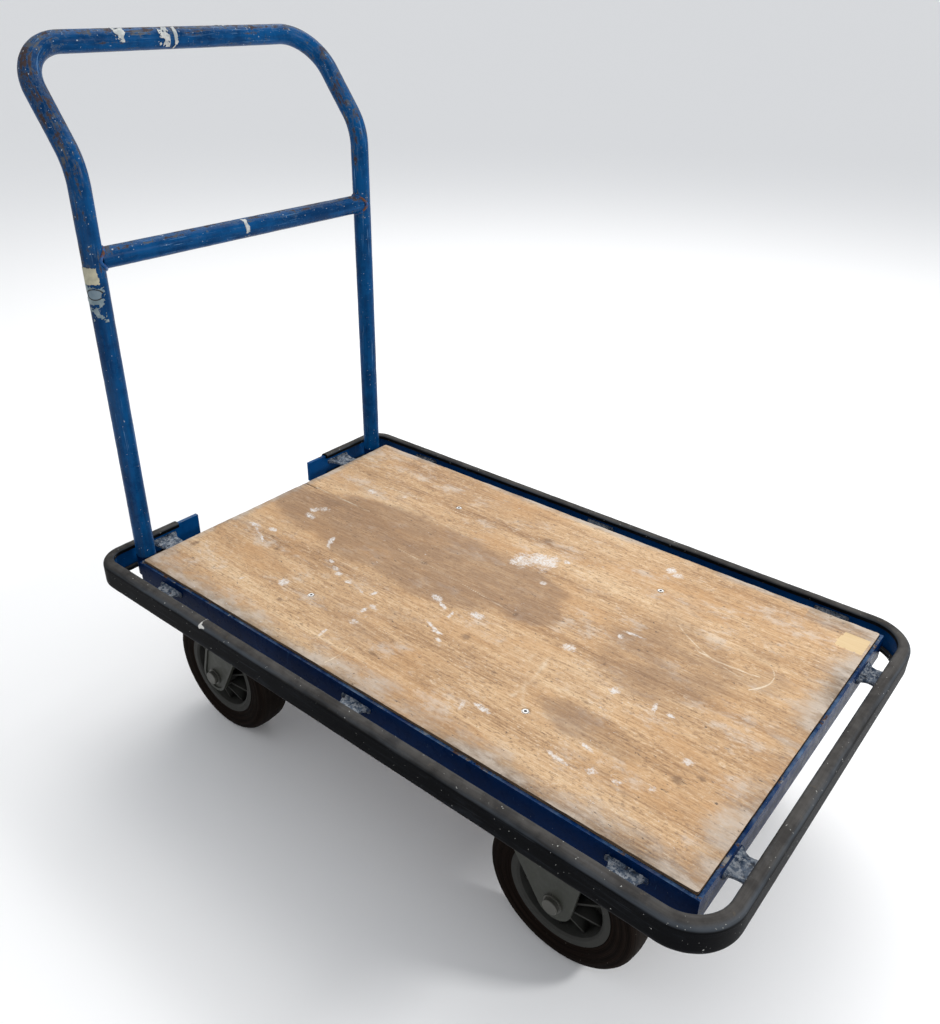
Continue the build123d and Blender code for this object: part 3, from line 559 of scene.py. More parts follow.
def arc(centre, start, end, axis, steps):
    """Points on the arc from start to end about an axis through centre."""
    radius = start - centre
    angle = radius.angle(end - centre)
    return [centre + Matrix.Rotation(angle * i / steps, 3, axis) @ radius for i in range(steps + 1)]


def rounded_line(corners, radii, step):
    """Evenly spaced points along straight runs joined by tangent arcs."""
    line = [corners[0]]
    for before, corner, after, radius in zip(corners, corners[1:], corners[2:], radii):
        back = (before - corner).normalized()
        ahead = (after - corner).normalized()
        reach = radius / math.tan(back.angle(ahead) / 2)
        start, end = corner + back * reach, corner + ahead * reach
        centre = corner + (back + ahead).normalized() * math.hypot(radius, reach)
        axis = (start - centre).cross(end - centre).normalized()
        steps = max(4, round((start - centre).angle(end - centre) * radius / step))
        line += arc(centre, start, end, axis, steps)
    line.append(corners[-1])
    even = [line[0]]
    for first, last in zip(line, line[1:]):
        gap = (last - first).length
        pieces = max(1, round(gap / step))
        even += [first.lerp(last, i / pieces) for i in range(1, pieces + 1)]
    return even


def directions(line):
    """Unit tangents at the points of a line."""
    ends = [line[0]] + list(line) + [line[-1]]
    return [(b - a).normalized() for a, b in zip(ends, ends[2:])]


def lengths(line):
    """Running length at each point of a line."""
    total = [0.0]
    for a, b in zip(line, line[1:]):
        total.append(total[-1] + (b - a).length)
    return total


def strip_faces(rows, columns, closed_columns=True, closed_rows=False):
    """Quads between successive rings of points."""
    faces = []
    for i in range(rows if closed_rows else rows - 1):
        for j in range(columns if closed_columns else columns - 1):
            a, b = i * columns + j, i * columns + (j + 1) % columns
            c, d = ((i + 1) % rows) * columns + (j + 1) % columns, ((i + 1) % rows) * columns + j
            faces.append((a, b, c, d))
    return faces


def end_caps(rows, columns):
    """The two faces that close a swept skin of rings."""
    last = (rows - 1) * columns
    return [tuple(range(columns)), tuple(last + k for k in reversed(range(columns)))]


def rough_value(place, scale, seed=0.0):
    """Signed noise at a place, about -1 to 1."""
    return noise.fractal(Vector(place) * scale + Vector((seed, -seed, 2 * seed)), 0.6, 2.1, 4)


# ---------------------------------------------------------------- deck board

deck_length = deck_high.x - deck_low.x
deck_width = deck_high.y - deck_low.y
SCREWS = [(u, v) for u in (0.2874, 0.6989) for v in (0.188, 0.812)]
SCREW_SEAT = 5.4 * MM
DECK_CORNER = 3 * MM
WORN_RIM = 5 * MM
# Lost veneer, as shares: from and to along the length, from and to across the width.
PATCH = (0.957, 0.996, 0.048, 0.118)
# Cracked glue seam from the rear edge: its share of the width, and the share where it ends.
SEAM_V = 0.385
SEAM_END = 0.17

# Pale paint on the board: (share of the length from the rear, share of the width from the left,
# half length, half width in millimetres, turn in degrees).
SPLATS = [
    (0.482, 0.305, 13, 19, 20), (0.500, 0.275, 17, 20, -30), (0.520, 0.272, 12, 22, 10),
    (0.474, 0.330, 9, 8, 0), (0.545, 0.365, 6, 5, 30), (0.103, 0.470, 10, 6, 20),
    (0.092, 0.490, 6, 8, -20), (0.104, 0.525, 12, 5, -15), (0.052, 0.668, 11, 5, 5),
    (0.088, 0.652, 8, 5, 0), (0.070, 0.686, 14, 2.5, -28), (0.094, 0.704, 13, 2, -35),
    (0.195, 0.590, 4, 13, 25), (0.204, 0.612, 8, 3, -30), (0.240, 0.660, 8, 3, -25),
    (0.262, 0.682, 9, 4, -20), (0.277, 0.694, 7, 5, 0), (0.443, 0.605, 10, 6, -15),
    (0.462, 0.622, 12, 3, -25), (0.520, 0.600, 10, 7, 0), (0.488, 0.640, 8, 3, -80),
    (0.668, 0.557, 9, 8, 0), (0.384, 0.745, 8, 4, -10), (0.378, 0.770, 4, 6, 0),
    (0.228, 0.820, 8, 9, 0), (0.388, 0.822, 7, 6, 0), (0.305, 0.705, 6, 3, 0),
    (0.652, 0.868, 12, 4, -10), (0.628, 0.890, 3, 9, 20), (0.768, 0.626, 6, 6, 0),
    (0.826, 0.618, 3, 8, 15), (0.849, 0.616, 5, 3, 0), (0.905, 0.717, 7, 6, 0),
    (0.856, 0.866, 8, 4, -10), (0.822, 0.872, 6, 5, 20), (0.893, 0.836, 4, 5, 0),
    (0.780, 0.888, 16, 3, -8), (0.724, 0.408, 14, 2.5, 5), (0.712, 0.435, 4, 6, 0),
    (0.685, 0.083, 6, 8, 0), (0.124, 0.290, 9, 8, 0), (0.700, 0.095, 8, 5, 40),
    (0.184, 0.245, 5, 4, 0), (0.342, 0.715, 9, 2, -20), (0.480, 0.705, 14, 2.5, -18),
    (0.513, 0.742, 5, 3, 0), (0.500, 0.720, 8, 2, 10), (0.372, 0.905, 3, 7, 10),
    (0.168, 0.880, 3, 6, 0), (0.360, 0.700, 3, 8, -10), (0.540, 0.235, 5, 4, 0),
    (0.795, 0.820, 9, 3, -12),
]

# Soft stains: (share of the length, share of the width, half length, half width as shares, strength).
STAINS = [
    (0.13, 0.490, 0.13, 0.085, 0.85), (0.26, 0.455, 0.14, 0.125, 1.0),
    (0.38, 0.465, 0.13, 0.130, 1.0), (0.48, 0.440, 0.10, 0.085, 0.95),
    (0.565, 0.485, 0.045, 0.055, 0.95), (0.05, 0.470, 0.06, 0.075, 0.6),
    (0.79, 0.455, 0.10, 0.165, 0.62), (0.745, 0.520, 0.06, 0.10, 0.4),
    (0.875, 0.365, 0.07, 0.12, 0.45), (0.78, 0.765, 0.08, 0.050, 0.62),
    (0.72, 0.330, 0.06, 0.04, 0.35), (0.93, 0.52, 0.06, 0.10, 0.35),
]

# Knots and dark spots: (share of the length, share of the width, half length, half width in mm).
KNOTS = [
    (0.362, 0.497, 6, 5), (0.478, 0.172, 10, 6), (0.304, 0.268, 5, 3), (0.070, 0.208, 6, 2.5),
    (0.562, 0.530, 4, 6), (0.908, 0.780, 7, 6), (0.540, 0.685, 6, 8), (0.142, 0.716, 4, 5),
    (0.620, 0.750, 5, 3), (0.930, 0.745, 6, 3), (0.462, 0.886, 9, 3), (0.022, 0.852, 5, 9),
    (0.260, 0.880, 6, 4), (0.752, 0.700, 7, 3), (0.435, 0.032, 5, 2),
]

# Curved scratches: (start, middle, end) as shares of the length and width. The last ones are wide.
WIDE_SCRATCHES = 2
SCRATCHES = [
    ((0.765, 0.300), (0.830, 0.385), (0.900, 0.392)), ((0.905, 0.420), (0.940, 0.350), (0.905, 0.300)),
    ((0.815, 0.365), (0.865, 0.375), (0.905, 0.360)), ((0.300, 0.490), (0.420, 0.505), (0.560, 0.530)),
    ((0.120, 0.240), (0.200, 0.215), (0.330, 0.212)), ((0.425, 0.985), (0.432, 0.940), (0.426, 0.905)),
    ((0.030, 0.3835), (0.100, 0.3850), (0.172, 0.3865)),
    ((0.660, 0.620), (0.672, 0.700), (0.668, 0.790)), ((0.640, 0.640), (0.655, 0.720), (0.690, 0.800)),
]


def deck_place(u, v):
    """Point on the deck from shares of its length (from the rear) and width (from the left)."""
    return Vector((deck_low.x + u * deck_length, deck_high.y - v * deck_width, deck_high.z))


def blob(x, y, centre, half_x, half_y, turn=0.0):
    """1 at the centre of a soft ellipse, 0.5 on its outline, 0 well outside."""
    dx, dy = x - centre.x, y - centre.y
    c, s = math.cos(math.radians(turn)), math.sin(math.radians(turn))
    distance = math.hypot((dx * c + dy * s) / half_x, (dy * c - dx * s) / half_y)
    return max(0.0, 1.0 - distance / 2)


def near_points(columns, rows, centre, reach_x, reach_y):
    """Index ranges of the deck grid around a place."""
    i = [k for k, x in enumerate(columns) if abs(x - centre.x) < reach_x]
    j = [k for k, y in enumerate(rows) if abs(y - centre.y) < reach_y]
    return [(a, b) for a in i for b in j]


def curve_points(start, middle, end, steps=60):
    """Places along a quadratic curve given as shares of the deck."""
    a, b, c = (deck_place(*share) for share in (start, middle, end))
    return [a.lerp(b, t / steps).lerp(b.lerp(c, t / steps), t / steps) for t in range(steps + 1)]


def deck_marks(columns, rows):
    """Values painted on the deck's top grid, one list for each kind of mark."""
    count = len(columns) * len(rows)
    marks = {key: [0.0] * count for key in ("stain", "dirt", "knot", "splat", "scrape", "bare", "crack")}

    def put(key, i, j, value):
        index = i * len(rows) + j
        marks[key][index] = max(marks[key][index], value)

    for u, v, half_x, half_y, turn in SPLATS:
        centre = deck_place(u, v)
        reach = 2.2 * MM * max(half_x, half_y)
        for i, j in near_points(columns, rows, centre, reach, reach):
            put("splat", i, j, blob(columns[i], rows[j], centre, half_x * MM, half_y * MM, turn))
    for u, v, half_u, half_v, strength in STAINS:
        centre = deck_place(u, v)
        size = (half_u * deck_length, half_v * deck_width)
        for i, j in near_points(columns, rows, centre, 2 * size[0], 2 * size[1]):
            put("stain", i, j, strength * min(1.0, 1.7 * blob(columns[i], rows[j], centre, *size)))
    for u, v, half_x, half_y in KNOTS:
        centre = deck_place(u, v)
        reach = 2.2 * MM * max(half_x, half_y)
        for i, j in near_points(columns, rows, centre, reach, reach):
            put("knot", i, j, blob(columns[i], rows[j], centre, half_x * MM, half_y * MM))
    for number, curve in enumerate(SCRATCHES):
        wide = number >= len(SCRATCHES) - WIDE_SCRATCHES
        width, strength = (9.0 * MM, 0.62) if wide else (1.5 * MM, 1.0)
        for place in curve_points(*curve):
            for i, j in near_points(columns, rows, place, 2.2 * width, 2.2 * width):
                put("scrape", i, j, strength * blob(columns[i], rows[j], place, width, width))
    for i, x in enumerate(columns):
        for j, y in enumerate(rows):
            rim = min(x - deck_low.x, deck_high.x - x, y - deck_low.y, deck_high.y - y)
            reach = (58 if y - deck_low.y < 0.07 or deck_high.x - x < 0.09 else 22) * MM
            drift = 0.75 + 0.5 * noise.noise(Vector((x * 9, y * 9, 3.0)))
            put("dirt", i, j, max(0.0, 1.0 - rim / reach) * drift)
            u, v = (x - deck_low.x) / deck_length, (deck_high.y - y) / deck_width
            ragged = 0.004 * rough_value((x, y, 0.0), 60.0)
            if PATCH[0] + ragged < u < PATCH[1] and PATCH[2] + ragged < v < PATCH[3] + ragged:
                put("bare", i, j, 1.0)
            seam = abs(v - SEAM_V - 0.0016 * math.sin(u * 60)) * deck_width
            if u < SEAM_END and seam < 1.6 * MM:
                put("crack", i, j, (1.0 if u < 0.035 else 0.62) * (1 - seam / (3.2 * MM)))
    return marks


def deck_height(x, y, marks, index):
    """Height of the worn face at one grid point."""
    rim = min(x - deck_low.x, deck_high.x - x, y - deck_low.y, deck_high.y - y)
    worn = 0.5 + 0.5 * rough_value((x, y, 0.0), 24.0, 4.0)
    height = -0.10 * MM * (1 + rough_value((x * 0.12, y, 0.0), 95.0))
    if rim < WORN_RIM:
        height -= (1 - rim / WORN_RIM) ** 2 * (0.5 + 1.3 * max(0.0, worn - 0.25)) * MM
    height -= 0.9 * MM * marks["bare"][index]
    height -= (2.2 * MM if x - deck_low.x < 0.035 * deck_length else 0.7 * MM) * marks["crack"][index]
    height += 0.10 * MM * min(1.0, marks["splat"][index] * 1.4)
    height -= 0.25 * MM * marks["knot"][index]
    return min(0.0, height)


def corner_shift(x, y, radius):
    """Point moved inwards where the board's corner is rounded."""
    for corner_x, side_x in ((deck_low.x, 1), (deck_high.x, -1)):
        for corner_y, side_y in ((deck_low.y, 1), (deck_high.y, -1)):
            dx, dy = (x - corner_x) * side_x, (y - corner_y) * side_y
            if dx < radius and dy < radius:
                reach = max(radius - dx, radius - dy)
                away = math.hypot(radius - dx, radius - dy)
                scale = reach / away if away > 0 else 1.0
                new_x = corner_x + side_x * (radius - (radius - dx) * scale)
                new_y = corner_y + side_y * (radius - (radius - dy) * scale)
                return new_x, new_y
    return x, y


def deck_piece():
    """Plywood board as a fine grid, with worn edges, a cracked seam, a lost veneer patch and screw seats."""
    across, lengthways = 254, 435
    columns = [deck_low.x + deck_length * i / lengthways for i in range(lengthways + 1)]
    rows = [deck_low.y + deck_width * j / across for j in range(across + 1)]
    marks = deck_marks(columns, rows)
    screws = [deck_place(u, v) for u, v in SCREWS]
    points = []
    for i, x in enumerate(columns):
        for j, y in enumerate(rows):
            index = i * len(rows) + j
            z = deck_high.z + deck_height(x, y, marks, index)
            place = Vector((*corner_shift(x, y, DECK_CORNER), z))
            for screw in screws:
                away = Vector((x - screw.x, y - screw.y))
                if away.length < SCREW_SEAT + 1.2 * MM:
                    if away.length > SCREW_SEAT - 0.9 * MM:
                        away = away.normalized() * SCREW_SEAT
                    deep = 2.6 * MM if away.length < SCREW_SEAT - 0.1 * MM else 0.05 * MM
                    place = Vector((screw.x + away.x, screw.y + away.y, deck_high.z - deep))
            points.append(place)
    faces = strip_faces(len(columns), len(rows), closed_columns=False)
    outline = [i * len(rows) for i in range(len(columns))]
    outline += [lengthways * len(rows) + j for j in range(1, len(rows))]
    outline += [i * len(rows) + across for i in range(lengthways - 1, -1, -1)]
    outline += [j for j in range(across - 1, 0, -1)]
    ring, levels = len(outline), 6
    middle = Vector((deck_low.x + deck_length / 2, deck_low.y + deck_width / 2, 0))
    for level in range(1, levels + 1):
        for k, source in enumerate(outline):
            top = points[source]
            share = level / levels
            z = top.z + (deck_low.z - top.z) * share
            inward = Vector((middle.x - top.x, middle.y - top.y, 0)).normalized()
            ragged = 0.2 * MM
            if level < levels:
                ragged = 0.35 * MM * (1 + rough_value((top.x, top.y, z * 4), 120.0))
            points.append(Vector((top.x, top.y, z)) + inward * ragged)
    total = len(columns) * len(rows)
    for level in range(levels):
        for k in range(ring):
            after = (k + 1) % ring
            upper = (outline[k], outline[after])
            if level > 0:
                upper = tuple(total + (level - 1) * ring + n for n in (k, after))
            lower = tuple(total + level * ring + n for n in (after, k))
            faces.append((*upper, *lower))
    faces.append(tuple(total + (levels - 1) * ring + k for k in range(ring)))
    extra = len(points) - total
    values = {key: data + [0.0] * extra for key, data in marks.items()}
    board = piece(
        "deck_plywood", points, faces, "chassis", plywood_paint(), ["deck_board"],
        values=values,
    )
    return outward(board, 50)


# ---------------------------------------------------------------- swept pieces


def sweep_piece(name, line, sideways, profile, body, material, replaces, seed, depth, mark=None):
    """Closed solid from a closed profile of (side, up) offsets carried along a level line."""
    run = lengths(line)
    around = lengths([Vector((a, b, 0)) for a, b in profile])
    points, trail, marks = [], [], []
    for place, side, distance in zip(line, sideways, run):
        for (a, b), girth in zip(profile, around):
            spot = place + side * a + Vector((0, 0, b))
            out = (side * (a - 8 * MM) + Vector((0, 0, b))).normalized()
            spot += out * depth * rough_value(spot, 45.0, seed)
            points.append(spot)
            trail.append((distance, girth, 0.0))
            marks.append(mark(spot) if mark else 0.0)
    columns = len(profile)
    faces = strip_faces(len(line), columns) + end_caps(len(line), columns)
    made = piece(name, points, faces, body, material, replaces, values={"run": trail, "mark": marks})
    return outward(made, 40)


def profile_corner(centre, radius, start, end, steps):
    """Points of a rounded corner of a flat profile, angles in degrees."""
    turns = [math.radians(start + (end - start) * i / steps) for i in range(steps + 1)]
    return [(centre[0] + radius * math.cos(t), centre[1] + radius * math.sin(t)) for t in turns]


def bumper_mark(spot):
    """White comma of paint on the right shoulder, and two smaller drops."""
    drops = [(-0.2045, 0.0024, 0.0042), (-0.2020, 0.0046, 0.0018), (-0.1975, 0.0030, 0.0014)]
    value = 0.0
    for x, half_x, half_z in drops:
        if spot.y < 0:
            value = max(value, blob(spot.x, spot.z, Vector((x, rubber_high.z - 4 * MM)), half_x, half_z))
    return value


def bumper_piece():
    """Rubber channel over the bar: rounded shoulders, a lip over the bar's inner face, and uneven ends."""
    front_radius, rear_radius, gap = 60 * MM, 40 * MM, 157 * MM
    low, high = rubber_low, rubber_high
    corners = [
        Vector((low.x, gap, 0)), Vector((low.x, high.y, 0)), Vector((high.x, high.y, 0)),
        Vector((high.x, low.y, 0)), Vector((low.x, low.y, 0)), Vector((low.x, -gap, 0)),
    ]
    line = rounded_line(corners, [rear_radius, front_radius, front_radius, rear_radius], 3 * MM)
    inwards = [Vector((0, 0, -1)).cross(way) for way in directions(line)]
    bottom, top, width = low.z, high.z, 16 * MM
    wall, lip = 4.9 * MM, 11.1 * MM
    profile = profile_corner((9 * MM, top - 9 * MM), 9 * MM, 180, 90, 9)
    profile += profile_corner((width - 4 * MM, top - 4 * MM), 4 * MM, 90, 0, 5)
    profile += [
        (width, top - 7 * MM), (width - 0.6 * MM, top - 8 * MM),
        (lip, top - 8 * MM), (lip, top - 4.1 * MM), (wall, top - 4.1 * MM),
        (wall, bottom + 2.4 * MM), (lip, bottom + 2.4 * MM), (lip, bottom + 6.5 * MM),
        (width - 0.6 * MM, bottom + 6.5 * MM), (width, bottom + 5.5 * MM),
        (width, bottom + 1.0 * MM), (width - 1.0 * MM, bottom),
    ]
    profile += profile_corner((9 * MM, bottom + 9 * MM), 9 * MM, 270, 180, 9)
    side = [(0.0, bottom + (top - bottom) * share) for share in (0.33, 0.42, 0.5, 0.58, 0.67)]
    profile += side
    return sweep_piece(
        "bumper_cover", line, inwards, profile, "chassis", rubber_paint(),
        ["bumper_rubber"], 7.0, 0.22 * MM, bumper_mark,
    )


TUBE_RADIUS = 14 * MM
SKIN_RADIUS = TUBE_RADIUS - 0.35 * MM
BORE_RADIUS, BORE_DEPTH = 12.0, 90.0  # millimetres, from each foot
BEND_RADIUS = 80 * MM
CORNER_RADIUS = 62 * MM
UPRIGHT_Y = tube_high.y - TUBE_RADIUS
UPRIGHT_X = tube_high.x - TUBE_RADIUS
TOP_BAR = Vector((tube_low.x + TUBE_RADIUS, 0, tube_high.z - TUBE_RADIUS))
CROSSBAR_Z = (crossbar_low.z + crossbar_high.z) / 2
LEAN = math.radians(37.3)
KNEE_Z = TOP_BAR.z - (UPRIGHT_X - TOP_BAR.x) / math.tan(LEAN)


def handle_line(step):
    """Centre line of the handle tube from the left foot over the top bar to the right foot."""
    corners = [
        Vector((UPRIGHT_X, UPRIGHT_Y, tube_low.z)), Vector((UPRIGHT_X, UPRIGHT_Y, KNEE_Z)),
        Vector((TOP_BAR.x, UPRIGHT_Y, TOP_BAR.z)), Vector((TOP_BAR.x, -UPRIGHT_Y, TOP_BAR.z)),
        Vector((UPRIGHT_X, -UPRIGHT_Y, KNEE_Z)), Vector((UPRIGHT_X, -UPRIGHT_Y, tube_low.z)),
    ]
    return rounded_line(corners, [BEND_RADIUS, CORNER_RADIUS, CORNER_RADIUS, BEND_RADIUS], step)


def tube_rings(line, radius, around, dent=0.0, first=Vector((0, 1, 0))):
    """Rings of points around a line, carried along it without twist."""
    ways = directions(line)
    side = first - ways[0] * first.dot(ways[0])
    rings, outs = [], []
    for place, way in zip(line, ways):
        side = (side - way * side.dot(way)).normalized()
        other = way.cross(side)
        for k in range(around):
            turn = 2 * math.pi * k / around
            out = side * math.cos(turn) + other * math.sin(turn)
            depth = dent * rough_value(place + out * radius, 38.0, 11.0)
            rings.append(place + out * (radius + min(0.0, depth)))
            outs.append(out)
    return rings, outs


def skin_places(line, around, radius, start=0):
    """Place on the skin of a tube at each of its points: length along it and girth round it."""
    run = lengths(line)
    girth = [radius * 2 * math.pi * k / around for k in range(around)]
    return [(start + distance, turn, 0.0) for distance in run for turn in girth]


def handle_wear(place, out):
    """How worn the paint is: the tops of the bars, the outside of the bends and the grip stretch. It also
    sets where the pale streaks, partly painted highlight, gather.
    """
    outside_bend = 1.0 if place.z > KNEE_Z - 60 * MM and abs(place.y) > UPRIGHT_Y - 75 * MM else 0.0
    lean = 0.45 if place.z > KNEE_Z - 70 * MM else 0.0
    value = 0.55 * max(0.0, out.z) + 0.30 * outside_bend * max(0.0, abs(out.y)) + lean * 0.5
    if abs(place.z - CROSSBAR_Z) < 22 * MM:
        value += 0.45
    return value


def handle_piece():
    """Handle tube with a real bore at both feet and small dents."""
    line = handle_line(2.5 * MM)
    around = 56
    points, outs = tube_rings(line, SKIN_RADIUS, around, 0.25 * MM)
    trail = skin_places(line, around, TUBE_RADIUS)
    wear = [handle_wear(p, o) for p, o in zip(points, outs)]
    inner = UPRIGHT_Y - 0.2 * TUBE_RADIUS
    grime = [max(0.0, abs(p.y) - inner) / TUBE_RADIUS * (p.z < KNEE_Z) for p in points]
    faces = strip_faces(len(line), around)
    for foot_ring, order in ((0, 1), (len(line) - 1, -1)):
        centre, way = line[foot_ring], (line[foot_ring] - line[foot_ring + order]).normalized() * -1
        base = foot_ring * around
        previous = [base + k for k in range(around)]
        for depth in (0.0, BORE_DEPTH):
            start = len(points)
            for k in range(around):
                points.append(centre + outs[base + k] * BORE_RADIUS * MM + way * depth * MM)
                trail.append((trail[base][0], 0.0, 0.0))
                wear.append(0.3)
                grime.append(0.0)
            current = [start + k for k in range(around)]
            for k in range(around):
                after = (k + 1) % around
                faces.append((previous[k], previous[after], current[after], current[k]))
            previous = current
        faces.append(tuple(previous))
    made = piece(
        "handle_bent_tube", points, faces, "handle", HANDLE_PAINT, ["handle_tube"],
        values={"run": trail, "wear": wear, "grime": grime},
    )
    return outward(made, 45)


def crossbar_piece():
    """Crossbar tube, its ends let into the uprights' paint."""
    reach = UPRIGHT_Y - TUBE_RADIUS * 0.55
    steps = 200
    line = [Vector((UPRIGHT_X, reach - 2 * reach * i / steps, CROSSBAR_Z)) for i in range(steps + 1)]
    around, radius = 52, TUBE_RADIUS - 0.3 * MM
    points, outs = tube_rings(line, radius, around, 0.25 * MM, Vector((1, 0, 0)))
    trail = skin_places(line, around, radius, start=3)
    wear = [0.62 * max(0.0, o.z) + 0.25 * (abs(p.y) > UPRIGHT_Y - 34 * MM) for p, o in zip(points, outs)]
    faces = strip_faces(len(line), around) + end_caps(len(line), around)
    made = piece(
        "handle_cross_tube", points, faces, "handle", HANDLE_PAINT, ["handle_crossbar"],
        values={"run": trail, "wear": wear, "grime": [0.0] * len(points)},
    )
    return outward(made, 45)


# ---------------------------------------------------------------- welds


RIPPLE_PITCH = 2.1 * MM


def weld_bead(name, line, radius, body, material, closed=False, seed=1.0):
    """Rippled weld bead along a line, thicker at each ripple."""
    run = lengths(line)
    around = 10
    if closed:
        ways = [(line[(i + 1) % len(line)] - line[i - 1]).normalized() for i in range(len(line))]
    else:
        ways = directions(line)
    points = []
    for place, way, distance in zip(line, ways, run):
        side = way.cross(Vector((0.31, 0.17, 0.93))).normalized()
        other = way.cross(side)
        ripple = 1 + 0.18 * math.sin(distance / RIPPLE_PITCH * 2 * math.pi)
        ripple += 0.25 * rough_value(place, 130.0, seed)
        end = 1.0 if closed else min(1.0, 0.35 + min(distance, run[-1] - distance) / (2.5 * MM))
        for k in range(around):
            turn = 2 * math.pi * k / around
            points.append(place + (side * math.cos(turn) + other * math.sin(turn)) * radius * ripple * end)
    faces = strip_faces(len(line), around, closed_rows=closed)
    if not closed:
        faces += end_caps(len(line), around)
    made = piece(name, points, faces, body, material)
    return outward(made)


def crossbar_welds():
    """Saddle-shaped beads where the crossbar meets the two uprights."""
    radius = TUBE_RADIUS - 0.2 * MM
    for side, sign in (("left", 1), ("right", -1)):
        line = []
        for k in range(96):
            turn = 2 * math.pi * k / 96
            x, z = radius * math.cos(turn), radius * math.sin(turn)
            y = UPRIGHT_Y - math.sqrt(max(0.0, TUBE_RADIUS ** 2 - x * x)) - 0.2 * MM
            line.append(Vector((UPRIGHT_X + x, sign * y, CROSSBAR_Z + z)))
        name = f"handle_weld_{side}"
        weld_bead(name, line, 2.3 * MM, "handle", HANDLE_WELD, True, 3 + sign)


def straight(start, end, step=0.7 * MM):
    """Evenly spaced points from start to end with a slight wander."""
    count = max(4, round((end - start).length / step))
    line = [start.lerp(end, i / count) for i in range(count + 1)]
    return [p + Vector([rough_value(p, 60.0, seed) for seed in (0.0, 5, 9)]) * 0.4 * MM for p in line]


BRACKET_HALF = 19 * MM
# Way from the frame to the bumper on each side.
BRACKET_WAYS = {
    "front": Vector((1, 0, 0)), "rear": Vector((-1, 0, 0)),
    "left": Vector((0, 1, 0)), "right": Vector((0, -1, 0)),
}


def bracket_places():
    """(side, centre, half size, direction from frame to bumper) of each of the ten brackets."""
    found = []
    for end, way in BRACKET_WAYS.items():
        low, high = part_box(f"bumper_brackets_{end}")
        half = BRACKET_HALF
        middle = (low + high) / 2
        if way.y:
            for x in (low.x + half, middle.x, high.x - half):
                found.append((end, Vector((x, middle.y, high.z)), (high.y - low.y) / 2, way))
        else:
            for y in (low.y + half, high.y - half):
                found.append((end, Vector((middle.x, y, high.z)), (high.x - low.x) / 2, way))
    return found


def bracket_solid(centre, reach, way, low):
    """Points and faces of one bracket: flared into the frame and the bar, with a lumpy top."""
    across = Vector((way.y, way.x, 0))
    rows, columns = 34, 40
    points = []
    for i in range(rows + 1):
        along = -1 + 2 * i / rows
        bead = math.exp(-((1 - abs(along)) * reach / (3.2 * MM)) ** 2)
        for j in range(columns + 1):
            share = -1 + 2 * j / columns
            flat = centre + way * along * (reach + 0.6 * MM)
            ragged = rough_value(flat + across * share * 0.02, 70.0, 6.0)
            edge = 15.5 * MM + 8.0 * MM * abs(along) ** 2.2 + 0.9 * MM * ragged
            spot = flat + across * share * edge
            lumps = 0.55 * rough_value(spot, 110.0, 3.0) + 0.30 * rough_value(spot, 300.0, 8.0)
            ripple = 0.35 * math.sin(share * edge / (1.9 * MM) * 2 * math.pi)
            spot.z += (lumps + bead * (1.7 + ripple) - 0.9 - 0.8 * share ** 6) * MM
            points.append(spot)
    top = len(points)
    points += [Vector((p.x, p.y, low)) for p in points]
    faces = strip_faces(rows + 1, columns + 1, closed_columns=False)
    faces += [tuple(top + k for k in reversed(face)) for face in faces]
    width = columns + 1
    rim = [i * width for i in range(rows + 1)]
    rim += [rows * width + j for j in range(1, width)]
    rim += [i * width + columns for i in range(rows - 1, -1, -1)]
    rim += list(range(columns - 1, 0, -1))
    faces += [(a, b, top + b, top + a) for a, b in zip(rim, rim[1:] + rim[:1])]
    return points, faces


def bracket_pieces():
    """Bumper brackets of each side as one lumpy piece, welded to the frame and the bar."""
    for end in BRACKET_WAYS:
        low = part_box(f"bumper_brackets_{end}")[0].z
        points, faces = [], []
        for other, centre, reach, way in bracket_places():
            if other == end:
                more, quads = bracket_solid(centre, reach, way, low)
                faces += [tuple(len(points) + k for k in quad) for quad in quads]
                points += more
        replaced = [f"bumper_brackets_{end}"]
        name = f"bracket_crust_{end}"
        made = piece(name, points, faces, "chassis", BRACKET, replaced)
        outward(made, 60)


def bracket_welds():
    """Short rough beads down the corners of every bumper bracket."""
    for number, (_, centre, reach, way) in enumerate(bracket_places(), start=1):
        across = Vector((way.y, way.x, 0))
        for label, sign in (("frame", -1), ("bar", 1)):
            for side in (-1, 1):
                foot = centre + way * (reach - 0.6 * MM) * sign + across * 21.5 * MM * side
                line = straight(foot + Vector((0, 0, 0.2 * MM)), foot - Vector((0, 0, 7 * MM)))
                letter = "a" if side < 0 else "b"
                name = f"bracket_weld_{label}_{number}{letter}"
                weld_bead(name, line, 2.2 * MM, "chassis", WELD, seed=float(number) + side)


# ---------------------------------------------------------------- wheels


def tyre_profile():
    """Half section of the tyre as (radius, offset from the middle), from the rim seat to the crown."""
    seat, rim, outer, half = 63.0, 67.0, 100.0, 25.0
    line = [(seat, 16.0), (rim, 21.0), (rim + 1.5, 22.2), (rim + 4.0, 22.6)]
    for ring in range(9):
        r = rim + 5.0 + ring * 1.7
        ridge = 0.55 if ring % 2 == 0 else 0.0
        line.append((r, min(half - 0.6, 22.9 + ring * 0.28) + ridge))
    shoulder, flat = 89.5, 14.0
    line += [(86.0, half), (88.0, half), (shoulder, half - 0.8)]
    for k in range(1, 9):
        turn = math.radians(90 * k / 8)
        r = shoulder + (outer - 1.2 - shoulder) * math.sin(turn)
        line.append((r, flat + (half - 0.8 - flat) * math.cos(turn)))
    line += [(outer - 0.5, 9.0), (outer - 0.1, 4.0), (outer, 0.0)]
    return [(r * MM, y * MM) for r, y in line]


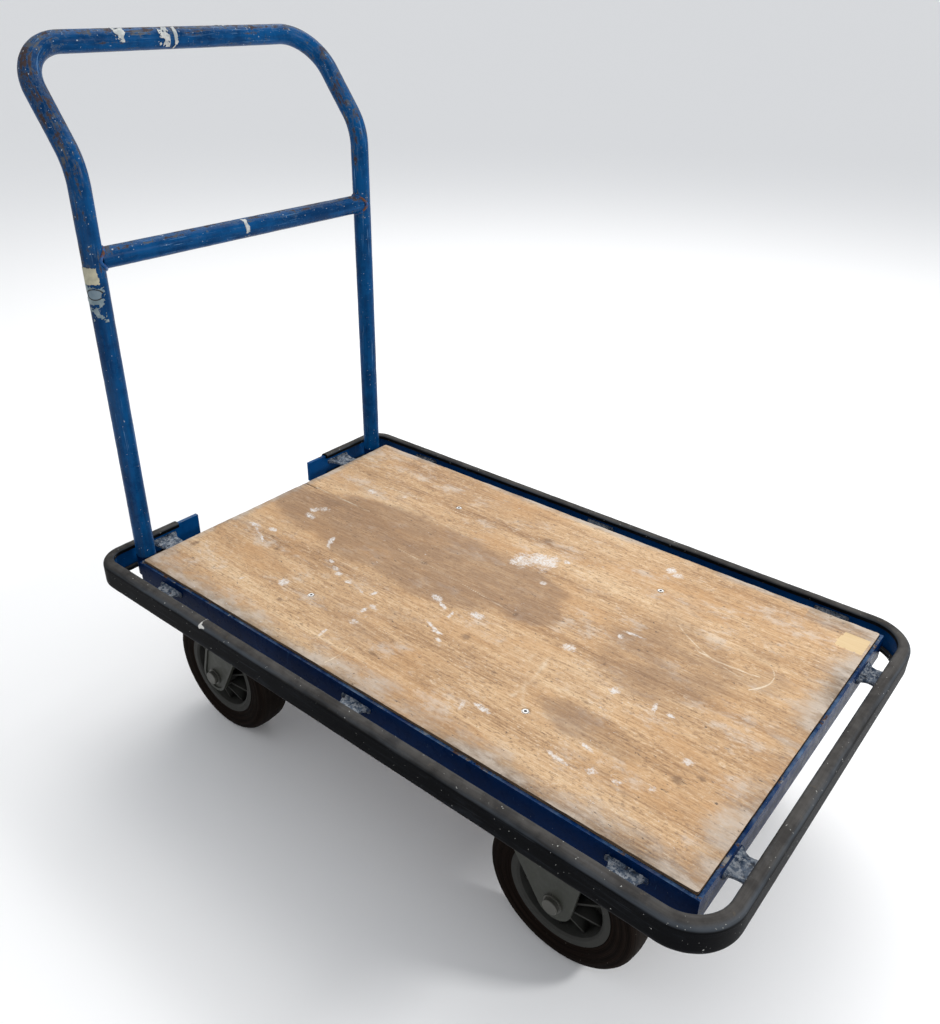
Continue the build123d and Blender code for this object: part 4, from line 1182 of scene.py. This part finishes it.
def tyre_piece(name, body):
    """Turned tyre with moulded rings on its walls, worn and nicked round the tread."""
    low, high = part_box(f"tyre_{name}")
    centre = (low + high) / 2
    half = tyre_profile()
    section = half + [(r, -y) for r, y in reversed(half[:-1])]
    around = 220
    points, radius, tread = [], [], []
    for k in range(around):
        turn = 2 * math.pi * k / around
        way = Vector((math.cos(turn), 0, math.sin(turn)))
        for r, y in section:
            spot = centre + way * r + Vector((0, y, 0))
            wear = max(0.0, min(1.0, (r - 90 * MM) / (8 * MM)))
            nick = min(0.0, rough_value(spot, 55.0, 2.0) + 0.25) * 0.9 * MM * wear
            points.append(spot + way * min(0.0, nick + 0.15 * MM * wear * rough_value(spot, 160.0)))
            radius.append(r)
            tread.append(wear)
    faces = strip_faces(around, len(section), closed_columns=True, closed_rows=True)
    made = piece(
        f"tyre_worn_{name}", points, faces, body, TYRE, [f"tyre_{name}"],
        values={"radius": radius, "tread": tread},
    )
    return outward(made)


# ---------------------------------------------------------------- remnants on the handle


def wrapped_patch(name, axis_point, axis, facing, material, start, length, turns, seed, raggedness):
    """Thin torn patch wrapped round the handle tube. Turns are degrees from the facing direction."""
    step, radius = 0.7 * MM, SKIN_RADIUS
    from_turn, to_turn = turns
    facing = (facing - axis * facing.dot(axis)).normalized()
    other = axis.cross(facing)
    rows = max(6, round(length / step))
    columns = max(6, round(math.radians(to_turn - from_turn) * radius / step))
    points, line, tint, inside = [], [], [], []
    for i in range(rows + 1):
        for j in range(columns + 1):
            s, t = i / rows, j / columns
            turn = math.radians(from_turn + (to_turn - from_turn) * t)
            out = facing * math.cos(turn) + other * math.sin(turn)
            spot = axis_point + axis * (start + length * s) + out * (radius + 0.35 * MM)
            torn = raggedness * rough_value(spot, 130.0, seed)
            edge = min(s, 1 - s, t, 1 - t) * 2 + torn
            inside.append(edge > 0.16)
            points.append(spot)
            ring = math.hypot((s - 0.60) / 0.22, (t - 0.55) / 0.34)
            line.append(1.0 - min(1.0, abs(ring - 1.0) / 0.22))
            tint.append(1.0 if ring < 0.9 else 0.0)
    faces = []
    for i in range(rows):
        for j in range(columns):
            here, above = i * (columns + 1) + j, (i + 1) * (columns + 1) + j
            quad = (here, here + 1, above + 1, above)
            if all(inside[k] for k in quad):
                faces.append(quad)
    keep = sorted({k for face in faces for k in face})
    number = {k: n for n, k in enumerate(keep)}
    faces = [tuple(number[k] for k in face) for face in faces]
    drawn = name == "sticker_b"
    values = {"line": [line[k] * drawn for k in keep], "tint": [tint[k] * drawn for k in keep]}
    made = piece(name, [points[k] for k in keep], faces, "handle", material, values=values)
    thick = made.modifiers.new("thickness", "SOLIDIFY")
    thick.thickness = 0.3 * MM
    thick.offset = -1.0
    return made


def handle_remnants():
    """Dried tape on the two cross bars and a torn, unprinted sticker on the right upright."""
    tape = tape_paint("tape_dried", (0.300, 0.325, 0.330), (0.520, 0.530, 0.510))
    sticker = tape_paint("sticker_torn", (0.420, 0.400, 0.290), (0.330, 0.320, 0.240))
    film = tape_paint("sticker_film", (0.130, 0.185, 0.215), (0.260, 0.310, 0.320))
    across, up = Vector((0, 1, 0)), Vector((0, 0, 1))
    front = Vector((1, 0, 0.25))
    bar = (Vector((TOP_BAR.x, 0, TOP_BAR.z)), across)
    cross = (Vector((UPRIGHT_X, 0, CROSSBAR_Z)), across)
    foot = (Vector((UPRIGHT_X, -UPRIGHT_Y, CROSSBAR_Z)), up)
    face = Vector((0.75, -1.0, 0))
    for name, tube, facing, material, start, length, turns, seed, raggedness in (
        ("tape_top_a", bar, front, tape, -0.105, 0.016, (-75, 25), 2.0, 0.9),
        ("tape_top_b", bar, front, tape, -0.018, 0.007, (-80, 85), 4.0, 0.5),
        ("tape_top_c", bar, front, tape, -0.040, 0.016, (-60, 60), 9.0, 1.5),
        ("tape_top_d", bar, up, tape, 0.062, 0.012, (-30, 30), 6.0, 1.2),
        ("tape_cross", cross, front, tape, -0.008, 0.009, (-80, 60), 5.0, 0.4),
        ("sticker_a", foot, face, sticker, -0.030, 0.026, (-95, 48), 3.0, 0.10),
        ("sticker_b", foot, face, film, -0.058, 0.030, (-72, 60), 8.0, 0.35),
        ("sticker_c", foot, face, film, -0.076, 0.019, (-45, 55), 12.0, 1.9),
    ):
        wrapped_patch(name, *tube, facing, material, start, length, turns, seed, raggedness)


# ---------------------------------------------------------------- materials of the CAD nodes that stay


def dress(nodes, material):
    """Gives CAD nodes a material through their own slots."""
    for name in nodes:
        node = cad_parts[name]
        node.data.materials.clear()
        node.data.materials.append(material)


def starting(*prefixes):
    return [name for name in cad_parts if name.startswith(prefixes)]


# The frame's blue is a darker copy of the bar's and the handle's paint: painted shade for its shaded side
# faces, also on the cross members and caster pads.
FRAME_SHADE_DEEP, FRAME_SHADE_LIGHT = (0.0002, 0.0120, 0.056), (0.0006, 0.0210, 0.092)
FRAME_BLUE_SHADED = chipped_blue("blue_frame_shaded", FRAME_SHADE_DEEP, FRAME_SHADE_LIGHT, 0.79, FRAME_TOP)
BAR_BLUE = chipped_blue("blue_bar", (0.0006, 0.034, 0.120), (0.0012, 0.055, 0.190), 0.78, BAR_TOP)
# Handle sockets: a still darker copy of the same blue paint, as painted shade where the handle's feet sit
# between the frame and the bumper.
SOCKET_BLUE_SHADED = chipped_blue("blue_socket_shaded", (0.0003, 0.007, 0.032), (0.0006, 0.015, 0.065), 0.80)
HANDLE_PAINT = handle_paint()
HANDLE_WELD = handle_weld_paint()
WELD = weld_paint()
TYRE = tyre_paint()
BRACKET = crusty_paint("bracket_worn")
FORK = zinc_paint("fork_zinc", (0.016, 0.017, 0.012), (0.036, 0.038, 0.029), 0.66, 0.55, 0.12)
ZINC = zinc_paint("fastener_zinc", (0.050, 0.049, 0.042), (0.110, 0.108, 0.094), 0.66, 0.42, 0.45)
GREASED = zinc_paint("greased_steel", (0.10, 0.09, 0.08), (0.22, 0.21, 0.20), 0.68, 0.30, 0.8)

dress(starting("frame_", "cross_member", "caster_pads"), FRAME_BLUE_SHADED)
dress(["bumper_bar"], BAR_BLUE)
dress(starting("handle_socket"), SOCKET_BLUE_SHADED)
dress(starting("rigid_fork", "swivel_fork", "swivel_plate"), FORK)
dress(starting("axle_bolt", "axle_nut", "caster_bolt", "caster_nut", "swivel_kingpin"), ZINC)
dress(["deck_screws"], screw_paint())
dress(starting("wheel_bearing", "axle_spacer", "swivel_balls"), GREASED)
dress(starting("rim_"), rim_paint())

deck_piece()
bumper_piece()
handle_piece()
crossbar_piece()
crossbar_welds()
bracket_pieces()
bracket_welds()
handle_remnants()
for wheel in ("front_left", "front_right", "rear_left", "rear_right"):
    tyre_piece(wheel, f"wheel_{wheel}")


# ---------------------------------------------------------------- floor, light and camera


def floor_piece():
    """Plain pale floor."""
    mesh = bpy.data.meshes.new("floor")
    work = bmesh.new()
    bmesh.ops.create_grid(work, x_segments=2, y_segments=2, size=400.0)
    work.to_mesh(mesh)
    work.free()
    made = bpy.data.objects.new("floor", mesh)
    p = Paint("floor_pale", Specular_IOR_Level=0.1)
    mesh.materials.append(p.finish((0.95, 0.95, 0.95), 0.9))
    bpy.context.scene.collection.objects.link(made)


def area_light(name, place, aim, size, watts, colour=(1, 1, 1)):
    """Soft square light aimed at a point."""
    data = bpy.data.lights.new(name, "AREA")
    data.size = size
    data.energy = watts
    data.color = colour
    made = bpy.data.objects.new(name, data)
    made.location = place
    made.rotation_mode = "QUATERNION"
    made.rotation_quaternion = (Vector(aim) - Vector(place)).to_track_quat("-Z", "Y")
    bpy.context.scene.collection.objects.link(made)


def world_light(colour, strength):
    world = bpy.data.worlds.new("studio")
    world.use_nodes = True
    background = world.node_tree.nodes["Background"]
    background.inputs["Color"].default_value = (*colour, 1)
    background.inputs["Strength"].default_value = strength
    bpy.context.scene.world = world


def camera():
    """Camera at the viewing angle of the reference view."""
    data = bpy.data.cameras.new("camera")
    data.lens = 32.28
    data.sensor_width = 36.0
    data.shift_x = 0.0208
    data.shift_y = -0.0123
    made = bpy.data.objects.new("camera", data)
    made.location = (0.6626, -0.8298, 0.9926)
    turn = Matrix.Rotation(math.radians(39.85), 4, "Z")
    tilt = Matrix.Rotation(math.radians(90 - 28.81), 4, "X")
    roll = Matrix.Rotation(math.radians(0.23), 4, "Z")
    made.rotation_euler = (turn @ tilt @ roll).to_euler()
    bpy.context.scene.collection.objects.link(made)
    bpy.context.scene.camera = made


floor_piece()
world_light((0.95, 0.97, 1.0), 0.75)
area_light("key", (-0.8, 1.6, 3.0), (0, 0, 0.3), 2.6, 62.0, (1.0, 0.985, 0.96))
area_light("right_strip", (2.2, 0.9, 1.5), (0, 0, 0.6), 0.35, 30.0)
camera()
bpy.context.scene.view_settings.view_transform = "Standard"
